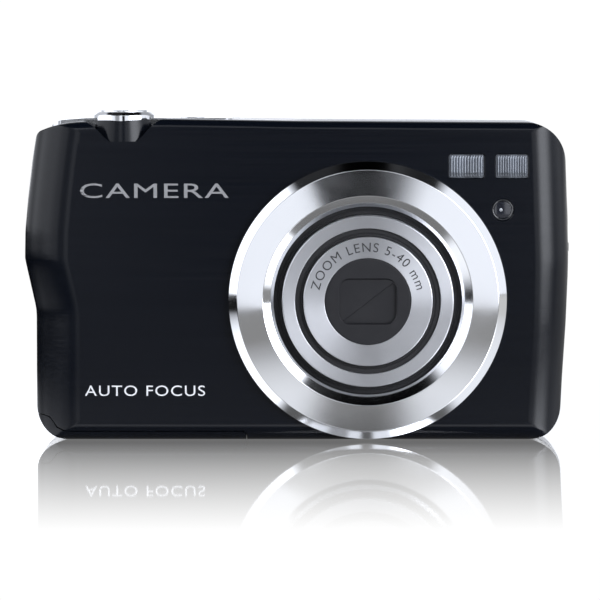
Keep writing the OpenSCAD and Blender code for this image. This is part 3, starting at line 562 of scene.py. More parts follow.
def key_finish():
    """Satin silver moulded keys."""
    return grained("satin silver keys", look().silver, 0.8, 0.26, ((200, 200, 200), 3.0), (0.9, 1.0),
                   ((6000, 6000, 6000), 2.0), (0.22, 0.34), 0.08, coat=0.2)


def glossy_finish(name, colour, roughness, coat):
    """Glossy moulded plastic with faint dust."""
    return grained(name, colour, 0.0, roughness, ((900, 900, 900), 3.0), (0.8, 1.1),
                   None, (roughness, roughness + 0.08), 0, coat=coat)


def blade_finish():
    """Satin black coated sheet."""
    material, tree, main = shader("black coated sheet", (0.013, 0.013, 0.016), 0.2, 0.4)
    grain = noise(tree, (5000, 5000, 5000), 2.0)
    cloud = noise(tree, (400, 400, 400), 3.0)
    tinted(tree, cloud, (0.012, 0.012, 0.015), (0.017, 0.017, 0.02), main.inputs["Base Color"])
    spread(tree, grain, 0.36, 0.46, main.inputs["Roughness"])
    bump(tree, main, grain, 0.12, 0.00002)
    return material


def screen_finish():
    """Glossy dark cover glass with a faintly lighter picture area."""
    centre = middle("screen_glass")
    material, tree, main = shader("screen glass", (0.01, 0.01, 0.012), 0.0, 0.06, specular=0.45)
    split = add_node(tree, "SeparateXYZ", {"Vector": add_node(tree, "TexCoord").outputs["Object"]})
    inside = []
    for axis, at, half in (("X", centre[0], 26.5), ("Z", centre[2], 19.8)):
        inputs = {0: split.outputs[axis], 1: at * MM, 2: half * MM}
        inside.append(add_node(tree, "Math", inputs, operation="COMPARE").outputs["Value"])
    both = add_node(tree, "Math", {0: inside[0], 1: inside[1]}, operation="MULTIPLY").outputs["Value"]
    tinted(tree, both, (0.004, 0.004, 0.005), (0.014, 0.015, 0.018), main.inputs["Base Color"])
    dust = noise(tree, (700, 700, 700), 3.0)
    spread(tree, dust, 0.04, 0.09, main.inputs["Roughness"])
    return material


def print_finish(name, colour):
    """Printed ink, slightly uneven."""
    material, tree, main = shader(name, colour, 0.0, 0.45)
    cloud = noise(tree, (1500, 1500, 1500), 2.0)
    tinted(tree, cloud, [0.88 * c for c in colour], colour, main.inputs["Base Color"])
    return material


# ---- the casing's shape ----

def smooth_line(at, value, step=0.25, width=0.7):
    """A line through given points, blurred by a bell curve so that its corners are round."""
    grid = np.arange(at[0] - 8, at[-1] + 8, step)
    line = np.interp(grid, at, value)
    reach = np.arange(-12, 13) * step
    bell = np.exp(-0.5 * (reach / width) ** 2)
    line = np.convolve(np.pad(line, 12, mode="edge"), bell / bell.sum(), mode="valid")
    return lambda v: np.interp(v, grid, line)


def casing_outline(tuck):
    """The casing seen from the front, anticlockwise, with a leaning and notched grip side on the left.

    The right side is nearly straight, and below its middle it is moved in by tuck.
    """
    size = bpy.context.scene.camera_sizes
    h, notch = TALL, size.notch
    corners = [
        (LEFT + notch, 0, 6.2), (RIGHT - 1.3 - tuck, 0, 6), (RIGHT - 0.8 - tuck, 0.19 * h, 100),
        (RIGHT - 0.2 - tuck, 0.36 * h, 120), (RIGHT, 0.6 * h, 120), (RIGHT - 0.5, 0.83 * h, 80),
        (RIGHT - 0.9, h - 0.7, 7.5), (0, h - 0.4, 300), (LEFT + 0.25 * (RIGHT - LEFT), h, 150),
        (LEFT + 8, h - 0.6, 12), (LEFT + 4.6, h - 1.6, 15), (LEFT + 2.3, h - 2.5, 1.8),
        (LEFT + 1.4, 0.87 * h, 60), (LEFT + 0.65, 0.755 * h, 60), (LEFT + 0.1, 0.65 * h, 40),
        (LEFT, 0.56 * h, 2.2), (LEFT + notch, 0.4 * h, 6)]
    return spaced(rounded(corners), 0.8)


def casing_sides():
    """The left and right edge as functions of height, and the top edge as a function of x."""
    h, notch = TALL, bpy.context.scene.camera_sizes.notch
    left = smooth_line(np.array([0, 0.4, 0.56, 0.65, 0.755, 0.87, 1]) * h,
                       LEFT + np.array([notch, notch, 0, 0.1, 0.65, 1.4, 2.4]))
    right = smooth_line(np.array([0, 0.19, 0.36, 0.55, 0.83, 1]) * h,
                        RIGHT - np.array([1.3, 0.8, 0.2, 0, 0.5, 0.9]))
    top = smooth_line(np.array([LEFT, LEFT + 4.6, LEFT + 8, LEFT + 0.25 * (RIGHT - LEFT), 0, RIGHT]),
                      h - np.array([3.4, 1.6, 0.6, 0, 0.4, 0.7]), width=1.2)
    return left, right, top


def casing_half(front, inset, deep, chamfer=0.0):
    """A closed solid of the casing from one of its flats to the plane at depth deep.

    Its face lies d behind the flat, where d is the fourth root of the sum of e^4 over the four sides, and
    e = r - sqrt(r^2 - (r - s)^2) at distance s from a side with edge radius r. Rows run from the outline
    towards a rectangle that is smaller by the radii, at fractions 1 - cos(angle) of the way.
    """
    size = bpy.context.scene.camera_sizes
    left, right, top = casing_sides()
    edge = casing_outline(size.tuck if front else 0)
    edge = edge - inset * outward(edge)
    full = BACK_Y - FACE_Y
    radii = [size.grip_r, size.side_r, size.chin_r, size.brow_r] if front else [size.back_r] * 4
    radii = np.array(radii) - inset
    rl, rr, rb, rt = radii

    def behind(x, z):
        spans = np.stack([x - left(z), right(z) - x, z, top(x) - z]) - inset
        short = np.clip(radii[:, None] - spans, 0, radii[:, None])
        drop = radii[:, None] - np.sqrt(radii[:, None] ** 2 - short ** 2)
        return (drop ** 4).sum(0) ** 0.25

    x, z = edge.T
    inner = np.stack([np.clip(x, left(z) + inset + rl, right(z) - inset - rr),
                      np.clip(z, inset + rb, top(x) - inset - rt)], 1)
    sign = 1 if front else -1
    flat = inset if front else full - inset
    rows = []
    if chamfer:
        tight = edge - chamfer * outward(edge)
        rows.append(np.stack([tight[:, 0], np.full(len(x), deep), tight[:, 1]], 1))
    start = np.full(len(x), deep - sign * chamfer)
    rim = flat + sign * behind(x, z)
    for part in (0, 0.5, 1):
        rows.append(np.stack([x, start + (rim - start) * part, z], 1))
    for angle in np.linspace(0, math.pi / 2, 15)[1:]:
        p = edge + (1 - math.cos(angle)) * (inner - edge)
        rows.append(np.stack([p[:, 0], flat + sign * behind(p[:, 0], p[:, 1]), p[:, 1]], 1))
    grid = np.stack(rows)
    grid[..., 1] += FACE_Y
    return make_mesh("casing", [grid])


def depth_prism(outline, d0, d1):
    """An outline drawn as x and z, filled between two depths behind the front face."""
    return prism(outline, -d1, -d0, on_front)


def box_solid(x, d, z):
    """A box between depths d behind the front face."""
    outline = np.array([(x[0], z[0]), (x[1], z[0]), (x[1], z[1]), (x[0], z[1])], float)
    return depth_prism(outline, d[0], d[1])


def rod_solid(x, z, radius, d0, d1, sides=96):
    """A round bar along Y between two depths."""
    return depth_prism(circle(radius, sides, (x, z)), d0, d1)


def post_solid(x, y, radius, z0, z1, sides=96):
    """A round bar along Z."""
    return prism(circle(radius, sides, (x, y)), z0, z1, on_top)


def scoop_solid(grow, depth):
    """The cone that is scooped out of the front edge round the shutter, made larger by grow."""
    low = TALL - 4 - grow
    cone = turned([(6.6 + grow, low), (9 + grow, low + 5 + grow)],
                  lambda a, b, h: on_top(SHUTTER_X + a, SHUTTER_Y + b, h), 128)
    solid = make_mesh("scoop", [cone])
    return combine(solid, [box_solid((LEFT, 0), (-1, depth), (40, TALL + 3))], "INTERSECT")


def scoop_cut():
    """The scoop, less the wall that stands in front of the shutter's collar."""
    wall = turned([(6.2, TALL - 4.1), (SHUTTER_R + 1.45, TALL - 0.3)],
                  lambda a, b, h: on_top(SHUTTER_X + a, SHUTTER_Y + b, h), 128)
    return combine(scoop_solid(0, 3.45), [make_mesh("wall", [wall])])


def plate_outline(grow):
    """The top plate seen from above."""
    x0, x1 = PLATE_X
    y0, y1 = PLATE_Y
    return rectangle(x1 - x0 + 2 * grow, y1 - y0 + 2 * grow, 1.6 + grow, ((x0 + x1) / 2, (y0 + y1) / 2))


def door_outline(grow):
    """The battery door's region seen from the front, with a round hinge end."""
    hinge_x, hinge_z = middle("door_pin")[0], middle("door_pin")[2]
    r = hinge_z + grow
    high = 2 * hinge_z + grow
    left, a = LEFT, grow
    quarter = np.linspace(math.pi / 2, math.pi, 9)
    round_end = [(hinge_x + r * math.sin(t), hinge_z - r * math.cos(t)) for t in quarter]
    points = [(left - 2, -2), (hinge_x + r, -2)] + round_end + [
        (left + 8, high), (left + 6.9 + a, high + 0.15), (left + 5.8 + a, high + 0.65),
        (left + 5.0 + a, 3.4), (left + 4.4 + a, 3.95 + a), (left + 3.4, 4.2 + a), (left - 2, 4.4 + a)]
    return np.array(points, float)


def cutter(outline, deep, place, lip=0.1):
    """A prism that cuts deep below a face and flares at 45 degrees, which leaves an edge broken by lip."""
    return make_mesh("cutter", [carried(outline, [(0, -deep), (0, -lip), (-lip - 1, 1)], place)])


def node_outline(node, radius, grow=0.0):
    """A rounded rectangle round a CAD node as seen from the front or back."""
    low, high = limits(node)
    return rectangle(high[0] - low[0] + 2 * grow, high[2] - low[2] + 2 * grow, radius + grow,
                     ((low[0] + high[0]) / 2, (low[2] + high[2]) / 2))


def lathe(name, corners, place=on_lens, closed=True, sides=192, step=10.0):
    """A turned solid of (radius, height, fillet) corners. An open profile starts and ends on the axis."""
    profile = rounded(corners, closed, step)
    return make_mesh(name, [turned(profile, place, sides)], "none", closed)


def flat_text(words, font_size, spacing=1.0):
    """A mesh of plain lettering, centred, one unit thick along its own Z."""
    curve = bpy.data.curves.new(words, "FONT")
    curve.body = words
    curve.size = font_size
    curve.space_character = spacing
    curve.align_x = "CENTER"
    curve.align_y = "CENTER"
    curve.resolution_u = 6
    curve.extrude = 0.5
    thing = bpy.data.objects.new(words, curve)
    bpy.context.scene.collection.objects.link(thing)
    seen = thing.evaluated_get(bpy.context.evaluated_depsgraph_get())
    mesh = bpy.data.meshes.new_from_object(seen)
    bpy.data.objects.remove(thing)
    bpy.data.curves.remove(curve)
    return mesh


def lettering(name, words, font_size, spacing, place, thick, stretch=1.0):
    """Raised lettering: its letters are drawn flat, then place(a, b, h) stands each point up."""
    mesh = flat_text(words, font_size, spacing)
    points = np.empty(len(mesh.vertices) * 3)
    mesh.vertices.foreach_get("co", points)
    points = points.reshape(-1, 3)
    placed = place(points[:, 0] * stretch, points[:, 1], (points[:, 2] + 0.5) * thick)
    mesh.vertices.foreach_set("co", (placed * MM).ravel())
    clean(mesh, 1e-9)
    thing = bpy.data.objects.new(name, mesh)
    bpy.context.scene.collection.objects.link(thing)
    return thing


# ---- sizes and colours that a user would change ----

class CameraSizes(PropertyGroup):
    notch: FloatProperty(name="Notch", description="How far the grip side steps in below its middle, in mm",
                         default=2.0, min=0.5, max=3)
    grip_r: FloatProperty(name="Grip rounding", description="Front edge radius on the grip side, in mm",
                          default=8.0, min=3, max=9)
    side_r: FloatProperty(name="Side rounding", description="Front edge radius on the far side, in mm",
                          default=6.2, min=2, max=7)
    brow_r: FloatProperty(name="Brow rounding", description="Front edge radius along the top, in mm",
                          default=1.8, min=1, max=3)
    chin_r: FloatProperty(name="Chin rounding", description="Front edge radius along the bottom, in mm",
                          default=3.5, min=1, max=5)
    back_r: FloatProperty(name="Back rounding", description="Radius of the back's edges, in mm",
                          default=2.6, min=1, max=4)
    front_wall: FloatProperty(name="Front wall", description="Sheet thickness of the front cover, in mm",
                              default=0.9, min=0.5, max=1.2)
    back_wall: FloatProperty(name="Back wall", description="Thickness of the rear cover, in mm",
                             default=1.2, min=0.8, max=1.6)
    tuck: FloatProperty(name="Tuck", description="How far the front cover's right side is inset, in mm",
                        default=0.4, min=0, max=0.5)
    seam: FloatProperty(name="Seam", description="Broken edge where the covers meet, in mm",
                        default=0.12, min=0.02, max=0.3)
    ribs: FloatProperty(name="Window ribs", description="Ribs on each lamp window", default=12, min=4, max=20)


class CameraColours(PropertyGroup):
    black: FloatVectorProperty(name="Black metal", description="Brushed front cover", subtype="COLOR",
                               default=(0.003, 0.0042, 0.0075), min=0, max=1)
    silver: FloatVectorProperty(name="Silver paint", description="Rear cover", subtype="COLOR",
                                default=(0.5, 0.51, 0.53), min=0, max=1)
    chrome: FloatVectorProperty(name="Plating", description="Lens surround and top controls", subtype="COLOR",
                                default=(0.86, 0.87, 0.89), min=0, max=1)
    barrel: FloatVectorProperty(name="Lens barrel", description="Turned lens tubes", subtype="COLOR",
                                default=(0.66, 0.67, 0.7), min=0, max=1)
    window: FloatVectorProperty(name="Windows", description="Ribbed windows", subtype="COLOR",
                                default=(0.17, 0.185, 0.21), min=0, max=1)
    light_print: FloatVectorProperty(name="Light print", description="Words on the front", subtype="COLOR",
                                     default=(0.31, 0.31, 0.32), min=0, max=1)
    dark_print: FloatVectorProperty(name="Dark print", description="Words round the lens", subtype="COLOR",
                                    default=(0.03, 0.03, 0.035), min=0, max=1)


# ---- the pieces ----

class CAMERA_OT_covers(Operator):
    """Front and rear covers and the battery door, cut out of one smooth shape"""
    bl_idname = "compact.covers"
    bl_label = "Covers"

    def execute(self, context):
        size = context.scene.camera_sizes
        black, silver = black_finish(), silver_finish()
        self.front_cover(size, black)
        self.rear_cover(size, silver)
        self.battery_door(size, black)
        return {"FINISHED"}

    def front_cover(self, size, material):
        """The front half's shell: outer shape less the same shape moved in by the wall, then its openings."""
        wall = size.front_wall
        seam_d = SEAM_Y - FACE_Y
        cover = casing_half(True, 0, seam_d, size.seam)
        hollow = casing_half(True, wall, seam_d + 1)
        combine(hollow, [scoop_solid(wall, 4.8)])
        cuts = [hollow, scoop_cut(), rod_solid(LENS_X, LENS_Z, 17, -1, 2, 128)]
        cuts += self.top_cuts()
        cuts.append(depth_prism(door_outline(0.15), -1, DOOR_HIGH[1] - FACE_Y + 0.15))
        for node in ("flash_window", "assist_window"):
            cuts.append(cutter(node_outline(node, 0.45, 0.06), 2, on_front, 0.08))
        lamp_x, lamp_z = middle("lamp_lens")[0], middle("lamp_lens")[2]
        cuts.append(cutter(circle(1.9, 64, (lamp_x, lamp_z)), 2, on_front, 0.1))
        combine(cover, cuts)
        finish_piece(cover, "front_cover_shell", "camera", ["front_cover"], material)

    def rear_cover(self, size, material):
        """The back half's shell, less openings for the screen, keys, lids, sockets and screws."""
        seam_d, full = SEAM_Y - FACE_Y, BACK_Y - FACE_Y
        wall = size.back_wall
        cover = casing_half(False, 0, seam_d + 0.05, size.seam)
        hollow = casing_half(False, wall, seam_d - 1)
        bar = middle("strap_bar")
        bar_low, bar_high = limits("strap_bar")
        z0, z1 = bar_low[2] + 1.1, bar_high[2] - 1.1
        bar_d = bar[1] - FACE_Y
        boss = box_solid((RIGHT - 4, RIGHT + 1), (bar_d - 2.85, bar_d + 2.85), (z0 - 1.6, z1 + 1.6))
        combine(hollow, [boss])
        cuts = [hollow] + self.top_cuts()
        cuts.append(depth_prism(door_outline(0.15), -1, DOOR_HIGH[1] - FACE_Y + 0.15))
        pocket = rectangle(3.7, z1 - z0, 0.9, (bar[1], (z0 + z1) / 2))
        cuts.append(prism(pocket, RIGHT - 3, RIGHT + 2, on_side))
        cuts.append(post_solid(bar[0], bar[1], 0.63, z0 - 1.2, z1 + 1.2, 32))
        low, high = limits("port_cover")
        lid = rectangle(high[1] - low[1] - 1.3, high[2] - low[2] + 0.3, 0.3,
                        (middle("port_cover")[1], middle("port_cover")[2]))
        cuts.append(prism(lid, RIGHT - 1.45, RIGHT + 2, on_side))
        cuts.append(post_solid(middle("tripod_socket")[0], middle("tripod_socket")[1], 3.7, -1, 3))
        low, high = limits("case_screws")
        for x in (low[0] + 1.2, high[0] - 1.2):
            cuts.append(post_solid(x, (low[1] + high[1]) / 2, 1.25, -1, 0.65, 48))
            cuts.append(post_solid(x, (low[1] + high[1]) / 2, 0.75, 0.5, 3, 32))
        cuts.append(cutter(node_outline("screen_glass", 2, 0.06), 0.8, on_back, 0.08))
        cuts.append(depth_prism(node_outline("screen_glass", 1, -1.5), full - 2.2, full + 1))
        ring = (limits("key_up")[1][2] - PAD_Z) - 0.6
        cuts.append(cutter(circle(ring + 0.16, 128, (PAD_X, PAD_Z)), 2.2, on_back, 0.1))
        for node in ("key_menu", "key_play"):
            reach = half_width(node) - 0.6
            spot = (middle(node)[0], middle(node)[2])
            cuts.append(cutter(circle(reach + 0.16, 64, spot), 2.2, on_back, 0.1))
        cuts.append(cutter(self.rocker_outline(0.16), 2.2, on_back, 0.1))
        combine(cover, cuts)
        finish_piece(cover, "rear_cover_shell", "camera", ["rear_cover"], material)

    @staticmethod
    def rocker_outline(grow):
        """The zoom rocker seen from the back, less its hidden flange."""
        low, high = limits("zoom_rocker")
        spot = middle("zoom_rocker")
        return rectangle(high[0] - low[0] - 1 + 2 * grow, high[2] - low[2] - 2.6 + 2 * grow, 1.1 + grow,
                         (spot[0], spot[2]))

    @staticmethod
    def top_cuts():
        """Room for the top plate, its flange under the covers, and the shutter's collar."""
        under = PLATE_LOW[2]
        face = under + PLATE_LIP
        return [prism(plate_outline(0.06), face, TALL + 2, on_top),
                prism(plate_outline(0.96), under - 0.05, face + 0.05, on_top),
                post_solid(SHUTTER_X, SHUTTER_Y, SHUTTER_R + 1.31, under - 0.05, TALL + 1)]

    def battery_door(self, size, material):
        """The corner of the casing that the door covers, as a curved plate with its own wall."""
        deep = DOOR_HIGH[1] - FACE_Y
        door = casing_half(True, 0, deep)
        combine(door, [depth_prism(door_outline(0), -1, deep + 1)], "INTERSECT")
        hollow = casing_half(True, 1.4, deep + 2)
        combine(hollow, [box_solid((LEFT - 5, LEFT + 40), (-3, deep - 1.4), (1.4, 12))], "INTERSECT")
        combine(door, [hollow])
        finish_piece(door, "battery_door_plate", "door", ["battery_door"], material)


class CAMERA_OT_lens(Operator):
    """Lens surround, seals, the two tubes, the name ring and the window plate"""
    bl_idname = "compact.lens"
    bl_label = "Lens"

    def execute(self, context):
        chrome, barrel, rubber = chrome_finish(), barrel_finish(), rubber_finish()
        h, r = BEZEL_H, BEZEL_R
        neck = BARREL_R + 1.45
        bezel = lathe("bezel", [
            (neck, h - 1.05, 0.1), (neck + 1.85, h - 0.02, 0.22), (r - 1.5, h - 0.42, 0.25),
            (r - 0.02, h - 1.75, 0.3), (r, -2.9, 0), (r - 1, -2.9, 0), (r - 1, h - 2.1, 0.3),
            (r - 1.9, h - 1.6, 0.3), (neck + 2, h - 1.3, 0.3), (neck + 2, -1, 0), (neck + 0.7, -1, 0),
            (neck + 0.7, -0.95, 0), (neck, -0.95, 0)], sides=256, step=6)
        finish_piece(bezel, "lens_surround", "camera", ["lens_bezel"], chrome)
        seal = lathe("seal", [
            (BARREL_R + 0.1, -0.3, 0.05), (neck - 0.02, -0.3, 0), (neck - 0.02, 0.7, 0.1),
            (neck - 0.5, 0.66, 0.15), (neck - 0.75, 0.45, 0.15), (BARREL_R + 0.4, 0.66, 0.15),
            (BARREL_R + 0.1, 0.6, 0.1)])
        finish_piece(seal, "surround_seal", "camera", ["bezel_seal"], rubber)
        self.outer_tube(barrel, rubber)
        self.inner_tube(barrel)
        return {"FINISHED"}

    def outer_tube(self, barrel, rubber):
        """Outer tube with a dished end, two turned grooves and the seal that the inner tube slides in."""
        tip_r = min(half_width("inner_barrel"), TIP_R)
        tail = FACE_Y - limits("outer_barrel")[1][1]
        top, mouth = BARREL_H, tip_r + 1.4
        grooves = []
        for at in (top - 2.2, top - 5.2):
            grooves += [(BARREL_R, at + 0.16, 0.04), (BARREL_R - 0.12, at, 0.04), (BARREL_R, at - 0.16, 0.04)]
        tube = lathe("tube", [
            (mouth, top - 1, 0), (mouth, top, 0.1), (BARREL_R, top, 0.22)]
            + grooves + [(BARREL_R, tail, 0), (BARREL_R - 0.85, tail, 0), (BARREL_R - 0.85, top - 1.5, 0),
                         (tip_r + 0.5, top - 1.5, 0), (tip_r + 0.5, top - 1, 0)])
        map_round(tube)
        finish_piece(tube, "outer_lens_tube", "outer_tube", ["outer_barrel"], barrel)
        seal = lathe("seal", [
            (tip_r + 0.1, top - 1, 0.03), (mouth - 0.02, top - 1, 0), (mouth - 0.02, top - 0.42, 0.08),
            (tip_r + 0.7, top - 0.4, 0.1), (tip_r + 0.4, top - 0.6, 0.1), (tip_r + 0.1, top - 0.45, 0.06)])
        finish_piece(seal, "tube_seal", "outer_tube", ["barrel_seal"], rubber)

    def inner_tube(self, barrel):
        """Inner tube, whose end is the name ring, with the plate that has the lens window."""
        tip_r = TIP_R
        tail = FACE_Y - limits("inner_barrel")[1][1]
        top = TIP_H
        tube = lathe("tube", [
            (PLATE_R + 0.03, top - 0.55, 0.02), (PLATE_R + 0.03, top - 0.03, 0.08), (tip_r, top - 0.03, 0.16),
            (tip_r, tail, 0), (tip_r - 0.8, tail, 0), (tip_r - 0.8, top - 0.58, 0),
            (PLATE_R + 0.6, top - 0.55, 0)])
        map_round(tube)
        finish_piece(tube, "name_ring_tube", "inner_tube", ["inner_barrel"], barrel)
        inside = lathe("inside", [
            (6.5, top - 7, 0), (tip_r - 0.85, top - 7, 0), (tip_r - 0.85, top - 1.4, 0),
            (6.5, top - 2.2, 0.3)])
        finish_piece(inside, "lens_mask", "inner_tube", [],
                     moulded_finish("black lens mask", (0.01, 0.01, 0.011), 0.6))
        plate_z = top - 0.2
        disc = lathe("disc", [
            (0, plate_z - 0.35, 0), (PLATE_R, plate_z - 0.35, 0), (PLATE_R, plate_z - 0.02, 0.06),
            (PLATE_R - 0.35, plate_z, 0.1), (0, plate_z, 0)], closed=False)
        window = rectangle(9.7, 7.5, 1.7)
        edge = [(0, plate_z - 1), (0, plate_z - 0.22), (-0.22, plate_z), (-1.22, plate_z + 1)]
        hole = make_mesh("window", [carried(window, edge, on_lens)])
        combine(disc, [hole])
        finish_piece(disc, "lens_window_plate", "inner_tube", ["window_plate"], blade_finish())
        middle_r = (PLATE_R + tip_r) / 2 - 0.02

        def round_the_ring(a, b, h):
            turn = math.pi / 2 - a / middle_r
            return on_lens((middle_r + b) * np.cos(turn), (middle_r + b) * np.sin(turn), top - 0.035 + h)

        words = lettering("words", "ZOOM LENS 5-40 mm", 2.25, 1.2, round_the_ring, 0.02)
        finish_piece(words, "name_ring_lettering", "inner_tube", [],
                     print_finish("dark print", look().dark_print))
        leaf = blade_finish()
        for node, body in (("blade_upper", "upper_blade"), ("blade_lower", "lower_blade")):
            blade = node_copy(node)
            break_edges(blade.data, 0.08)
            finish_piece(blade, node + "_leaf", body, [node], leaf, 15)


class CAMERA_OT_windows(Operator):
    """The ribbed flash and focus-aid windows and the small lamp"""
    bl_idname = "compact.windows"
    bl_label = "Windows and lamp"

    def execute(self, context):
        ribs = int(context.scene.camera_sizes.ribs)
        material = window_finish()
        for node in ("flash_window", "assist_window"):
            low, high = limits(node)
            self.ribbed(node, low, high, ribs, material)
        self.lamp()
        return {"FINISHED"}

    def ribbed(self, node, low, high, ribs, material):
        """A plate whose front is a row of ridges: height = depth * (1 - (2 * place in ridge - 1)^2)."""
        centre = (low + high) / 2
        wide, tall = high[0] - low[0], high[2] - low[2]
        base = plate(node_outline(node, 0.45), -0.85, -0.3, 0.06, on_front)
        finish_piece(base, node + "_pane", "camera", [node], material)
        inside_w, inside_h = wide - 0.5, tall - 0.5
        u = np.linspace(0, 1, ribs * 10 + 1)
        ridge = 1 - (2 * ((u * ribs) % 1) - 1) ** 2
        ridge[0] = ridge[-1] = 0
        v = np.linspace(-1, 1, 15)
        ends = (1 - v ** 8)[:, None]
        x = centre[0] + (u - 0.5)[None] * inside_w + 0 * ends
        z = centre[2] + v[:, None] * inside_h / 2 + 0 * x
        h = -0.3 + 0.02 + 0.2 * ridge[None] * ends
        top = on_front(x, z, h)
        bottom = on_front(x, z, np.full_like(h, -0.34))
        rows, columns = x.shape
        loop = np.concatenate([top, bottom[:, ::-1]], 1)
        thing = make_mesh(node + "_ribs", [loop])
        finish_piece(thing, node + "_ribs", "camera", [], material, 50)

    def lamp(self):
        """A clear pane in a raised rim over a dark well with one bright die."""
        spot = middle("lamp_lens")
        at = lambda a, b, h: on_front(spot[0] + a, spot[2] + b, h)
        rim = lathe("rim", [
            (1.45, -0.85, 0), (1.84, -0.85, 0), (1.84, -0.06, 0.12), (1.5, -0.3, 0.05)], at, sides=96)
        finish_piece(rim, "lamp_rim", "camera", [],
                     glossy_finish("lamp rim", (0.02, 0.022, 0.026), 0.08, 1.0))
        pane = lathe("pane", [
            (0, -0.8, 0), (1.44, -0.8, 0), (1.44, -0.35, 0.05), (0, -0.3, 0)], at, False, 96)
        finish_piece(pane, "lamp_pane", "camera", ["lamp_lens"],
                     glossy_finish("lamp pane", (0.02, 0.022, 0.03), 0.05, 1.0))
        radius = 0.3
        a = np.linspace(0, math.pi / 2, 8)
        dome = [(radius * math.cos(t), -0.36 + 0.6 * radius * math.sin(t)) for t in a]
        dome = [(0, -0.5), (radius, -0.5)] + dome[:-1] + [(0, -0.36 + 0.6 * radius)]
        x, z = spot[0] - radius, spot[2]
        bead = make_mesh("bead", [turned(dome, lambda a, b, h: on_front(x + a, z + b, h), 32)], "none")
        finish_piece(bead, "lamp_dies", "camera", [],
                     glossy_finish("lamp dies", (0.5, 0.52, 0.55), 0.12, 0.5))


class CAMERA_OT_top(Operator):
    """Top plate with its collar, the domed shutter button and the power button"""
    bl_idname = "compact.top"
    bl_label = "Top controls"

    def execute(self, context):
        under = PLATE_LOW[2]
        face = under + PLATE_LIP
        proud = TALL
        chrome = top_chrome_finish()
        body = plate(plate_outline(0), face - 0.1, proud, 0.25, on_top)
        x0, x1 = PLATE_X
        droop = rounded([
            (x1 + 1, face - 2, 0), (x1 + 1, proud + 0.3, 0), (x0 + 6, proud, 40), (x0 + 1.6, proud - 0.35, 4),
            (x0 + 0.5, proud - 0.8, 0.8), (x0 - 0.02, proud - 1.35, 0.4), (x0 - 0.02, face - 2, 0)])
        combine(body, [prism(droop, FACE_Y - 30, FACE_Y + 10, on_front)], "INTERSECT")
        flange = prism(plate_outline(0.9), under, face, on_top)
        collar_r = SHUTTER_R + 1.25
        collar = lathe("collar", [
            (0, under, 0), (collar_r, under, 0), (collar_r, COLLAR_TOP - 0.6, 0.35),
            (SHUTTER_R + 0.62, COLLAR_TOP, 0.15), (SHUTTER_R + 0.3, COLLAR_TOP - 0.1, 0.05),
            (0, COLLAR_TOP - 0.1, 0)], self.at_shutter, False, 128, 12)
        combine(body, [flange, collar], "UNION")
        well = lathe("well", [
            (0, face, 0), (SHUTTER_R + 0.15, face, 0), (SHUTTER_R + 0.15, COLLAR_TOP - 0.2, 0.05),
            (SHUTTER_R + 0.95, COLLAR_TOP + 0.6, 0), (0, COLLAR_TOP + 0.6, 0)], self.at_shutter, False, 128)
        stem = post_solid(SHUTTER_X, SHUTTER_Y, 1.3, under - 1, face + 1, 48)
        hole = lathe("hole", [
            (0, face, 0), (POWER_R + 0.15, face, 0), (POWER_R + 0.15, proud - 0.15, 0.03),
            (POWER_R + 0.9, proud + 0.6, 0), (0, proud + 0.6, 0)], self.at_power, False, 96)
        small = post_solid(POWER_X, POWER_Y, 1, under - 1, face + 1, 48)
        combine(body, [well, stem, hole, small])
        finish_piece(body, "top_plate_plating", "camera", ["top_plate"], chrome)
        self.shutter()
        self.power(proud)
        return {"FINISHED"}

    @staticmethod
    def at_shutter(a, b, h):
        return on_top(SHUTTER_X + a, SHUTTER_Y + b, h)

    @staticmethod
    def at_power(a, b, h):
        return on_top(POWER_X + a, POWER_Y + b, h)

    def shutter(self):
        """A button whose top is a ball's cap of 30 mm radius, with a rounded rim, on a thin stem."""
        low = limits("shutter_button")[0][2]
        ball_r = 30
        rise = [(SHUTTER_R * k / 8, BUTTON_TOP - (SHUTTER_R * k / 8) ** 2 / (2 * ball_r), 0)
                for k in range(7, -1, -1)]
        button = lathe("button", [
            (0, low, 0), (1.15, low, 0), (1.15, TALL + 0.2, 0), (SHUTTER_R, TALL + 0.2, 0.1),
            (SHUTTER_R, BUTTON_TOP - 0.3, 0.16)] + rise, self.at_shutter, False, 128, 12)
        finish_piece(button, "shutter_button_cap", "shutter", ["shutter_button"],
                     button_finish("turned shutter button", (SHUTTER_X, SHUTTER_Y)))
        self.spring()

    def spring(self):
        """The button's return spring, which stands in the plate."""
        spring = node_copy("shutter_spring")
        finish_piece(spring, "shutter_return_spring", "camera", ["shutter_spring"],
                     metal_finish("spring wire", (0.8, 0.8, 0.81), 0.2))
        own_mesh(spring)

    def power(self, proud):
        """A flat button with a dished middle and a rounded rim."""
        low = limits("power_button")[0][2]
        top = limits("power_button")[1][2]
        button = lathe("button", [
            (0, low, 0), (0.9, low, 0), (0.9, proud - 1.4, 0), (POWER_R, proud - 1.4, 0.05),
            (POWER_R, top, 0.18), (POWER_R - 0.5, top, 0.2), (POWER_R - 0.75, top - 0.08, 0.2),
            (0, top - 0.1, 0)], self.at_power, False, 96, 12)
        finish_piece(button, "power_button_cap", "power", ["power_button"],
                     button_finish("turned power button", (POWER_X, POWER_Y)))


